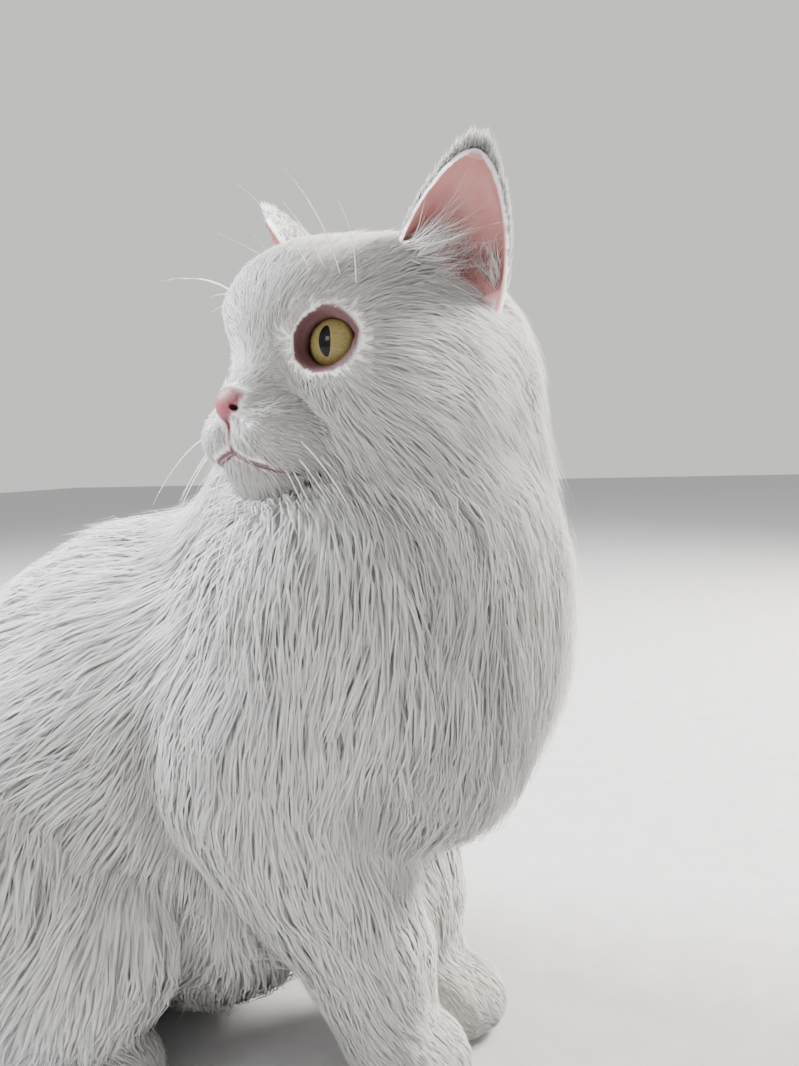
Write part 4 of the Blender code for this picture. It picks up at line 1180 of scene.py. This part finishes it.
WHITE = (1, 1, 1)
BLACK = (0, 0, 0)
# Painted light along a tuft: greyer at its root, where shade falls deep in the coat, and lighter at its tip
LIT_TIP_FUR = (0.965, 0.96, 0.95)
WHITE_FUR = (0.94, 0.935, 0.93)
ROOT_SHADE_FUR = (0.89, 0.88, 0.87)
# Painted shade between the hairs that a tuft stands for, in grey streaks along it
STREAK_SHADE = (0.72, 0.71, 0.70)
COOL_TUFT = (0.95, 0.945, 0.94)
WARM_TUFT = (1, 0.985, 0.965)
WARM_PATCH = (0.965, 0.96, 0.945)
NOSE_PINK = (0.27, 0.062, 0.082)
NOSE_GREY = (0.10, 0.08, 0.085)
EAR_PINK = (0.56, 0.25, 0.24)
EAR_PALE = (0.62, 0.32, 0.30)
LIP_PINK = (0.13, 0.040, 0.045)
LID_BROWN = (0.12, 0.055, 0.058)
STREAKS = (4.2, 0.9)       # how quickly the streaks change across a tuft and along it
TONE_STEP = 61.0           # how far apart the streaks of two tufts of different tone are taken


def fur_material():
    """White fur: each tuft is streaked along its length, as it stands for many hairs, with painted shade in
    the grey streaks between them and at its root, and painted light at its tip.
    """
    shader = Shader("white_fur")
    across, along, tone = (shader.attribute(key) for key in ("across", "along", "tone"))
    hairs = shader.noise(1.0, 2.0, vector=shader.combine(
        shader.times(across, STREAKS[0]), shader.times(along, STREAKS[1]), shader.times(tone, TONE_STEP)))
    shader.paint(shader.tint(
        # painted shade at a tuft's root and painted light at its tip
        shader.ramp(along, (0.0, ROOT_SHADE_FUR), (0.5, WHITE_FUR), (1.0, LIT_TIP_FUR)),
        shader.ramp(tone, (0.0, COOL_TUFT), (0.6, WHITE), (1.0, WARM_TUFT)),
        shader.ramp(shader.noise(14.0, 2.0), (0.35, WARM_PATCH), (0.65, WHITE)),
        # the grey streaks: painted shade between the hairs
        shader.ramp(hairs, (0.35, STREAK_SHADE), (0.58, WHITE))))
    shader.bump(hairs, 0.55, 0.0003)
    shader.set(Roughness=0.62, Sheen_Weight=0.15, Sheen_Roughness=0.4, Specular_IOR_Level=0.2,
               Subsurface_Weight=0.35, Subsurface_Radius=(0.008, 0.0075, 0.007), Subsurface_Scale=1.0)
    return shader.material


def skin_material():
    """The skin under the fur, bare and coloured on the nose, the lips, the lids and inside the ears."""
    shader = Shader("cat_skin")
    freckles = shader.ramp(shader.noise(620.0, 2.0), (0.50, BLACK), (0.60, WHITE))
    pad = shader.mix(shader.times(freckles, shader.attribute("freckled")), NOSE_PINK, NOSE_GREY)
    veins = shader.ramp(shader.noise(120.0), (0.35, EAR_PINK), (0.7, EAR_PALE))
    colour = shader.ramp(shader.noise(400.0, 4.0, 0.6), (0.3, (0.86, 0.85, 0.84)), (0.7, (0.93, 0.92, 0.91)))
    for key, shade in (("ear_inside", veins), ("nose", pad), ("lips", LIP_PINK), ("lids", LID_BROWN)):
        colour = shader.mix(shader.attribute(key), colour, shade)
    shader.paint(colour)
    shader.bump(shader.noise(900.0, 4.0, 0.6), 0.35, 0.0004)
    shader.set(Roughness=0.55, Specular_IOR_Level=0.35)
    return shader.material


def build_dressed_skin():
    """The skin with its map and its colours, and how bare it is at each of its points."""
    skin = build_skin()
    unwrap(skin)
    points = points_of(skin)
    local = in_head(points)
    pad, beside = nose_masks(local)
    nose = (1 - place_on(pad, *NOSE_EDGE)) * (1 - place_on(beside, *NOSE_SIDE_EDGE))
    lips = lip_mask(points, local)
    lids, sockets = eye_masks(local)
    inside, shell = ear_masks(points)
    set_values(skin, "nose", nose)
    set_values(skin, "lips", lips)
    set_values(skin, "lids", lids)
    set_values(skin, "ear_inside", inside)
    set_values(skin, "freckled", place_on(local[:, 2], *FRECKLE_HEIGHTS))
    skin.data.materials.clear()
    skin.data.materials.append(skin_material())
    return skin, np.max([nose, lips, lids * LID_BARENESS, inside, sockets, shell], axis=0)


EYE_SEGMENTS = 64
CORNEA_HALF = 0.0086       # half the width of the cornea
CORNEA_BULGE = 0.0010
PUPIL_HALF = (0.0023, 0.0052)
PUPIL_BLACK = (0.004, 0.004, 0.005)
IRIS_GOLD = (0.30, 0.235, 0.090)
IRIS_OLIVE = (0.17, 0.145, 0.060)
IRIS_MIDDLE = (0.85, 0.95, 0.75)
IRIS_OUTER = (0.9, 0.86, 0.75)
IRIS_EDGE = (0.10, 0.08, 0.06)
EYE_RIM = (0.05, 0.03, 0.03)  # the dark ball outside the cornea
SPOKES = (9.0, 260.0)      # how quickly the iris changes round the pupil and outwards


def eye_material():
    """A gold iris with fine spokes round an upright black slit, under a clear coat."""
    shader = Shader("cat_eye")
    parts = shader.node("ShaderNodeSeparateXYZ", {"Vector": shader.place()})
    x, y = parts.outputs["X"], parts.outputs["Y"]
    radius = shader.math("SQRT", shader.squares(x, y))
    share = shader.math("DIVIDE", radius, CORNEA_HALF)
    slit = shader.squares(shader.math("DIVIDE", x, PUPIL_HALF[0]), shader.math("DIVIDE", y, PUPIL_HALF[1]))
    spokes = shader.noise(2.2, 2.0, vector=shader.combine(
        shader.times(shader.math("ARCTAN2", y, x), SPOKES[0]), shader.times(radius, SPOKES[1])))
    iris = shader.tint(
        shader.ramp(spokes, (0.30, IRIS_OLIVE), (0.70, IRIS_GOLD)),
        shader.ramp(share, (0.0, IRIS_MIDDLE), (0.55, WHITE), (0.86, IRIS_OUTER), (1.0, IRIS_EDGE)))
    dark = shader.ramp(slit, (0.0, WHITE), (0.92, WHITE), (1.0, BLACK))
    outside = shader.ramp(share, (0.98, BLACK), (1.0, WHITE))
    shader.paint(shader.mix(outside, shader.mix(dark, iris, PUPIL_BLACK), EYE_RIM))
    shader.set(Roughness=0.35, Coat_Weight=0.5, Coat_Roughness=0.02, Coat_IOR=1.35, Specular_IOR_Level=0.05)
    return shader.material


def build_eyes():
    material = eye_material()
    for word, side in SIDES:
        work = bmesh.new()
        bmesh.ops.create_uvsphere(work, u_segments=EYE_SEGMENTS, v_segments=EYE_SEGMENTS // 2,
                                  radius=EYE_RADIUS - EYE_INSET)
        for vertex in work.verts:
            off = math.hypot(vertex.co.x, vertex.co.y)
            if vertex.co.z > 0 and off < CORNEA_HALF:
                vertex.co.z += CORNEA_BULGE * (1 - (off / CORNEA_HALF) ** 2)
        mesh = finished_mesh("eyeball_" + word, work)
        mesh.shade_smooth()
        mesh.materials.append(material)
        made = add_object("eyeball_" + word, mesh)
        look = eye_look(side)
        upright = unit(vec(0, 0, 1) - look * look[2])
        turned = Matrix(np.stack([np.cross(upright, look), upright, look], axis=1).tolist())
        made.matrix_world = Matrix.Translation(on_head(*eye_centre(side)) + SHIFT) @ turned.to_4x4()
        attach(made, "root")
        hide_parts("eye_" + word)


def tube(path, radius, sides=5):
    """Points and faces of a tapered closed tube."""
    ahead = rows(np.gradient(path, axis=0))
    across = rows(np.cross(ahead, vec(0.3, 0.2, 1.0)))
    over = np.cross(ahead, across)
    turn = np.linspace(0, 2 * math.pi, sides, endpoint=False)
    points = []
    for number, spot in enumerate(path[:-1]):
        size = radius * (1 - 0.8 * number / (len(path) - 1))
        round_it = np.cos(turn)[:, None] * across[number] + np.sin(turn)[:, None] * over[number]
        points.append(spot + size * round_it)
    points = np.concatenate(points + [path[-1:]])
    faces = [(0, k + 1, k) for k in range(1, sides - 1)]
    for ring in range(len(path) - 2):
        for k in range(sides):
            a, b = sides * ring + k, sides * ring + (k + 1) % sides
            faces += [(a, b, b + sides), (a, b + sides, a + sides)]
    base = sides * (len(path) - 2)
    faces += [(base + k, base + (k + 1) % sides, len(points) - 1) for k in range(sides)]
    return points, np.array(faces)


# The way each kind of whisker starts and the way it bends, in the head's frame
NEAR_WHISKERS = ((-0.22, 1.0, -0.45), (-0.30, -0.50, -1.40))
FAR_WHISKERS = ((0.10, -0.90, -0.15), (-0.10, 0.10, -1.0))
NEAR_BROW = ((0.80, 0.0, 0.75), (0.25, -0.35, -0.25))
FAR_BROW = ((0.30, -0.60, 0.65), (0.0, -0.35, -0.75))
WHISKER_ROWS = ((4, 1.0), (5, 1.10), (5, 1.0), (4, 0.8))  # of each row down a pad: how many, and their length
WHISKER_LENGTHS = (0.052, 0.007)  # of the first in a row, and how much longer each next one is
WHISKER_RADIUS = 0.00032
BROW_HAIRS = 5
BROW_LENGTH = 0.046
BROW_RADIUS = 0.00023
WHISKER_POINTS = 9
PAD_MIDDLE = (0.030, 0, -0.018)  # the roots are moved a little away from here
WHISKER_PALE = (0.95, 0.94, 0.92)
WHISKER_DARK = (0.84, 0.82, 0.78)


def whisker_paths(rng):
    """Whiskers from four rows on each pad, and a few over each eye: start, way, bend, length and radius."""
    paths = []
    first, growth = WHISKER_LENGTHS
    for _, side in SIDES:
        way, bend = (vec(*v) for v in (NEAR_WHISKERS if side > 0 else FAR_WHISKERS))
        for row, (count, share) in enumerate(WHISKER_ROWS):
            for column in range(count):
                aside = side * (0.0140 + 0.0024 * column)
                start = vec(0.0500 - 0.0060 * column, aside, -0.0225 - 0.0034 * row)
                length = (first + growth * column) * rng.uniform(0.85, 1.15) * share
                lean = vec(-0.10 * column, 0, -0.30 * row) + rng.normal(0, 0.07, 3)
                bent_by = bend * rng.uniform(0.75, 1.1)
                paths.append((start, unit(way + lean), bent_by, length, WHISKER_RADIUS))
        way, bend = (vec(*v) for v in (NEAR_BROW if side > 0 else FAR_BROW))
        for number in range(BROW_HAIRS):
            start = vec(0.036 - 0.002 * number, side * (0.017 + 0.003 * number), 0.0185)
            lean = vec(-0.12 * number, side * 0.10 * number, 0) + rng.normal(0, 0.08, 3)
            bent_by = bend * rng.uniform(0.8, 1.1)
            length = BROW_LENGTH * rng.uniform(0.75, 1.1)
            paths.append((start, unit(way + lean), bent_by, length, BROW_RADIUS))
    return paths


def build_whiskers():
    rng = np.random.default_rng(SEED + 1)
    points, faces, count = [], [], 0
    steps = np.linspace(0, 1, WHISKER_POINTS)[:, None]
    for start, way, bend, length, radius in whisker_paths(rng):
        local = length * (steps * way + steps ** 2 * bend * 0.5)
        root = on_head(*start)
        out = unit(root - on_head(*PAD_MIDDLE))
        made = tube(root + local @ HEAD.T + out * 0.001 * (1 - steps), radius)
        points.append(made[0])
        faces.append(made[1] + count)
        count += len(made[0])
    made = mesh_object("whiskers", np.concatenate(points) + SHIFT, np.concatenate(faces))
    shader = Shader("whisker")
    shader.set(Roughness=0.35, Sheen_Weight=0.2)
    shader.paint(shader.ramp(shader.noise(300.0), (0.3, WHISKER_DARK), (0.7, WHISKER_PALE)))
    made.data.materials.append(shader.material)
    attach(made, "root")


EAR_BACK_TUFTS = 3000
EAR_WISPS = 420
EAR_LINING = 360
EAR_TUFT_WIDTHS = (0.00045, 0.00080)
EAR_HAIR_WIDTHS = (0.00018, 0.00034)


def ear_roots(side, rng, count):
    """Points on the back and rim of one ear, and the way out of it at each."""
    axes = HEAD @ ear_axes(side)
    height = rng.uniform(-0.002, EAR_HEIGHT * 0.985, count)
    turn = rng.uniform(math.pi * 0.42, math.pi * 1.58, count)
    halves = ear_halves(height)
    local = np.stack([height, EAR_BACK + halves * EAR_DEPTH * np.cos(turn), halves * np.sin(turn)], axis=1)
    out = np.stack([np.full(count, 0.12), np.cos(turn) / EAR_DEPTH, np.sin(turn)], axis=1)
    return ear_base(side) + local @ axes.T, rows(out @ axes.T)


def simple_paths(roots, ways, bends, lengths, long):
    """Tufts that start along ways and turn towards bends."""
    lengths = lengths[:, None]
    places = [roots + (ways * share + bends * share * share) * lengths for share in RINGS[long]]
    return np.stack(places, axis=1)


def skin_map(skin, chosen):
    """Gives the place on the skin's map that is nearest to each of some points."""
    places = read_rows(skin.data.uv_layers["OFBake"].uv, "vector", 2)
    vertex_of = read_rows(skin.data.loops, "vertex_index", 1, np.int32)[:, 0]
    place_of = np.zeros((len(skin.data.vertices), 2))
    place_of[vertex_of] = places
    tree = tree_of(points_of(skin)[chosen], chosen.tolist())
    return lambda roots: place_of[[tree.find(root)[1] for root in roots]]


def drawn(rng, count, *parts):
    """Directions whose three numbers each have a middle and a spread."""
    return np.stack([rng.normal(middle, spread, count) for middle, spread in parts], axis=1)


def ear_wisps(side, rng):
    """Long fine hair that grows from the front edge of the ear and sweeps across its opening."""
    axes, inner = HEAD @ ear_axes(side), -side
    height = rng.uniform(-0.009, 0.013, EAR_WISPS)
    ahead = EAR_RIM - rng.uniform(0.0, 0.007, EAR_WISPS)
    local = np.stack([height, ahead, inner * (ear_halves(height) - 0.0018)], axis=1)
    ways = drawn(rng, EAR_WISPS, (0.30, 0.25), (0.22, 0.14), (-inner * 0.85, 0.2))
    bends = drawn(rng, EAR_WISPS, (0.25, 0.25), (-0.12, 0.10), (0, 0.15))
    lengths = rng.uniform(0.012, 0.030, EAR_WISPS) * np.clip(1.2 - height / EAR_HEIGHT, 0.3, 1)
    return ear_base(side) + local @ axes.T, rows(ways) @ axes.T, bends @ axes.T, lengths


def ear_lining(side, rng):
    """Shorter fine hair that rises from the floor and the sides of the ear's cup."""
    axes = HEAD @ ear_axes(side)
    height = rng.uniform(-0.001, 0.012, EAR_LINING)
    turn = rng.uniform(math.pi * 0.55, math.pi * 1.45, EAR_LINING)
    halves = ear_halves(height) - 0.0022
    ahead = EAR_RIM + (halves * EAR_DEPTH + 0.003) * np.cos(turn)
    local = np.stack([height, ahead, halves * np.sin(turn)], axis=1)
    inward = np.stack([np.full(EAR_LINING, 0.9), -np.cos(turn) * 0.8, -np.sin(turn) * 0.8], axis=1)
    inward = inward + rng.normal(0, 0.2, inward.shape)
    sideways = drawn(rng, EAR_LINING, (0.1, 0.1), (side * 0.25, 0.15))
    bends = np.concatenate([np.full((EAR_LINING, 1), 0.1), sideways], axis=1)
    lengths = rng.uniform(0.006, 0.014, EAR_LINING)
    return ear_base(side) + local @ axes.T, rows(inward) @ axes.T, bends @ axes.T, lengths


def build_ear_fur(skin, material):
    """Short fur on the back of each ear, and long wisps and a soft lining inside it."""
    points = points_of(skin)
    for word, side in SIDES:
        ear = in_ear(points, side)
        maps_of = skin_map(skin, np.flatnonzero((ear[:, 0] > -0.01) & (np.linalg.norm(ear, axis=1) < 0.06)))
        rng = np.random.default_rng(SEED + 5 + side)
        up, ahead = (HEAD @ ear_axes(side)).T[:2]
        roots, out = ear_roots(side, rng, EAR_BACK_TUFTS)
        ways = rows(up + rng.normal(0, 0.10, (len(roots), 3)) + out * 0.05)
        near_tip = np.clip((in_ear(roots, side)[:, 0] / EAR_HEIGHT - 0.75) * 4, 0, 1)
        lengths = rng.uniform(0.0040, 0.0062, len(roots)) * (1 + 0.5 * near_tip)
        paths = simple_paths(roots - out * 0.0004, ways, -out * 0.12, lengths, False)
        widths = rng.uniform(*EAR_TUFT_WIDTHS, len(roots))
        tones = rng.uniform(0, 1, len(roots))
        outs = np.repeat(out[:, None], len(RINGS[False]), axis=1)
        coat_object("coat_ear_" + word, paths, outs, widths, maps_of(roots), tones,
                    False, material, soft=False)
        for kind, hair in (("wisps", ear_wisps(side, rng)), ("lining", ear_lining(side, rng))):
            paths = simple_paths(*hair, True)
            widths = rng.uniform(*EAR_HAIR_WIDTHS, len(paths))
            tones = rng.uniform(0.3, 1, len(paths))
            coat_object(f"coat_ear_{kind}_{word}", paths, np.broadcast_to(ahead, paths.shape), widths,
                        maps_of(hair[0]), tones, True, material, soft=False)


# The camera stands where the photograph's did, in the photograph's pixels and the row frame's metres
PHOTO_HEIGHT = 1066
FOCAL_PIXELS = 900
MIDDLE_ROW, HORIZON_ROW = 533, 450
MIDDLE_COLUMN, TARGET_COLUMN = 399.5, 385
TARGET_DISTANCE = 0.345
TARGET = (0.055, -0.008)
CAMERA_HEIGHT = 0.245
CAMERA_TURN = 25.0
CAMERA_ROLL = 2.0


def build_camera():
    turn, roll = math.radians(CAMERA_TURN), math.radians(CAMERA_ROLL)
    pitch = math.atan((MIDDLE_ROW - HORIZON_ROW) / FOCAL_PIXELS)
    level = vec(-math.sin(turn), math.cos(turn), 0)
    right = vec(math.cos(turn), math.sin(turn), 0)
    aside = (TARGET_COLUMN - MIDDLE_COLUMN) / FOCAL_PIXELS * TARGET_DISTANCE
    place = vec(*TARGET, 0) - level * TARGET_DISTANCE - right * aside + SHIFT * vec(1, 1, 0)
    place[2] = CAMERA_HEIGHT
    ahead = level * math.cos(pitch) - vec(0, 0, math.sin(pitch))
    up = vec(0, 0, math.cos(pitch)) + level * math.sin(pitch)
    rolled_right = right * math.cos(roll) - up * math.sin(roll)
    rolled_up = up * math.cos(roll) + right * math.sin(roll)
    data = bpy.data.cameras.new("camera")
    data.sensor_width = 36.0
    data.lens = FOCAL_PIXELS / PHOTO_HEIGHT * data.sensor_width
    data.clip_start, data.clip_end = 0.01, 20
    camera = add_object("camera", data)
    camera.matrix_world = Matrix.Translation(place) @ Matrix(
        np.stack([rolled_right, rolled_up, -ahead], axis=1).tolist()).to_4x4()
    bpy.context.scene.camera = camera


FLOOR_HALF = 6.0
FLOOR_DARK = (0.43, 0.43, 0.44)
FLOOR_PALE = (0.48, 0.48, 0.49)
WORLD_COLOUR = (0.80, 0.79, 0.77)
WORLD_STRENGTH = 1.05
LIGHTS = {  # place, what the light points at, size, power and colour
    "key": ((-1.2, -0.2, 1.3), (0.0, 0, 0.2), 0.9, 130, (0.96, 0.98, 1.0)),
    "rim": ((0.9, 1.0, 1.0), (0.05, 0, 0.22), 0.5, 100, (1.0, 0.94, 0.85)),
    "fill": ((-0.4, -1.6, 0.9), (0.05, 0, 0.2), 0.5, 9, (1, 1, 1)),
}


def area_light(name, place, target, size, power, colour):
    data = bpy.data.lights.new(name, "AREA")
    data.size, data.energy, data.color = size, power, colour
    light = add_object(name, data)
    light.location = place
    light.rotation_mode = "QUATERNION"
    light.rotation_quaternion = (Vector(target) - Vector(place)).to_track_quat("-Z", "Y")


def build_stage():
    """A pale floor in even light, a key light from the left, a rim light from behind and a weak fill."""
    corners = np.array([(-1, -1, 0), (1, -1, 0), (1, 1, 0), (-1, 1, 0)], float)
    floor = mesh_object("floor", corners * FLOOR_HALF, np.array([(0, 1, 2, 3)]))
    shader = Shader("pale_floor")
    shader.paint(shader.ramp(shader.noise(60.0), (0.3, FLOOR_DARK), (0.7, FLOOR_PALE)))
    shader.set(Roughness=0.8)
    floor.data.materials.append(shader.material)
    world = bpy.data.worlds.new("studio")
    world.use_nodes = True
    back = world.node_tree.nodes["Background"]
    back.inputs["Color"].default_value = (*WORLD_COLOUR, 1)
    back.inputs["Strength"].default_value = WORLD_STRENGTH
    bpy.context.scene.world = world
    for name, values in LIGHTS.items():
        area_light(name, *values)


# From the place of the masses to the frame's: the middle of the left eye is the same in both
EYE_BOX = [Vector(corner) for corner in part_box("eye_left")]
SHIFT = np.array((EYE_BOX[0] + EYE_BOX[1]) / 2) - on_head(*eye_centre(1))
FLESH_NODES = [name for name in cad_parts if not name.startswith("eye_")]


def main():
    grid = FieldGrid((-0.27, -0.20, -0.01), (0.16, 0.20, 0.36), 0.0042)
    head_grid = FieldGrid((-0.03, -0.11, 0.20), (0.13, 0.08, 0.345), 0.0024)
    skin, bare = build_dressed_skin()
    fur = fur_material()
    build_coat(skin, grid, head_grid, bare, fur)
    build_ear_fur(skin, fur)
    skin.data.transform(Matrix.Translation(SHIFT))
    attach(skin, "root")
    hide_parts(*FLESH_NODES)
    build_eyes()
    build_whiskers()
    build_camera()
    build_stage()


main()
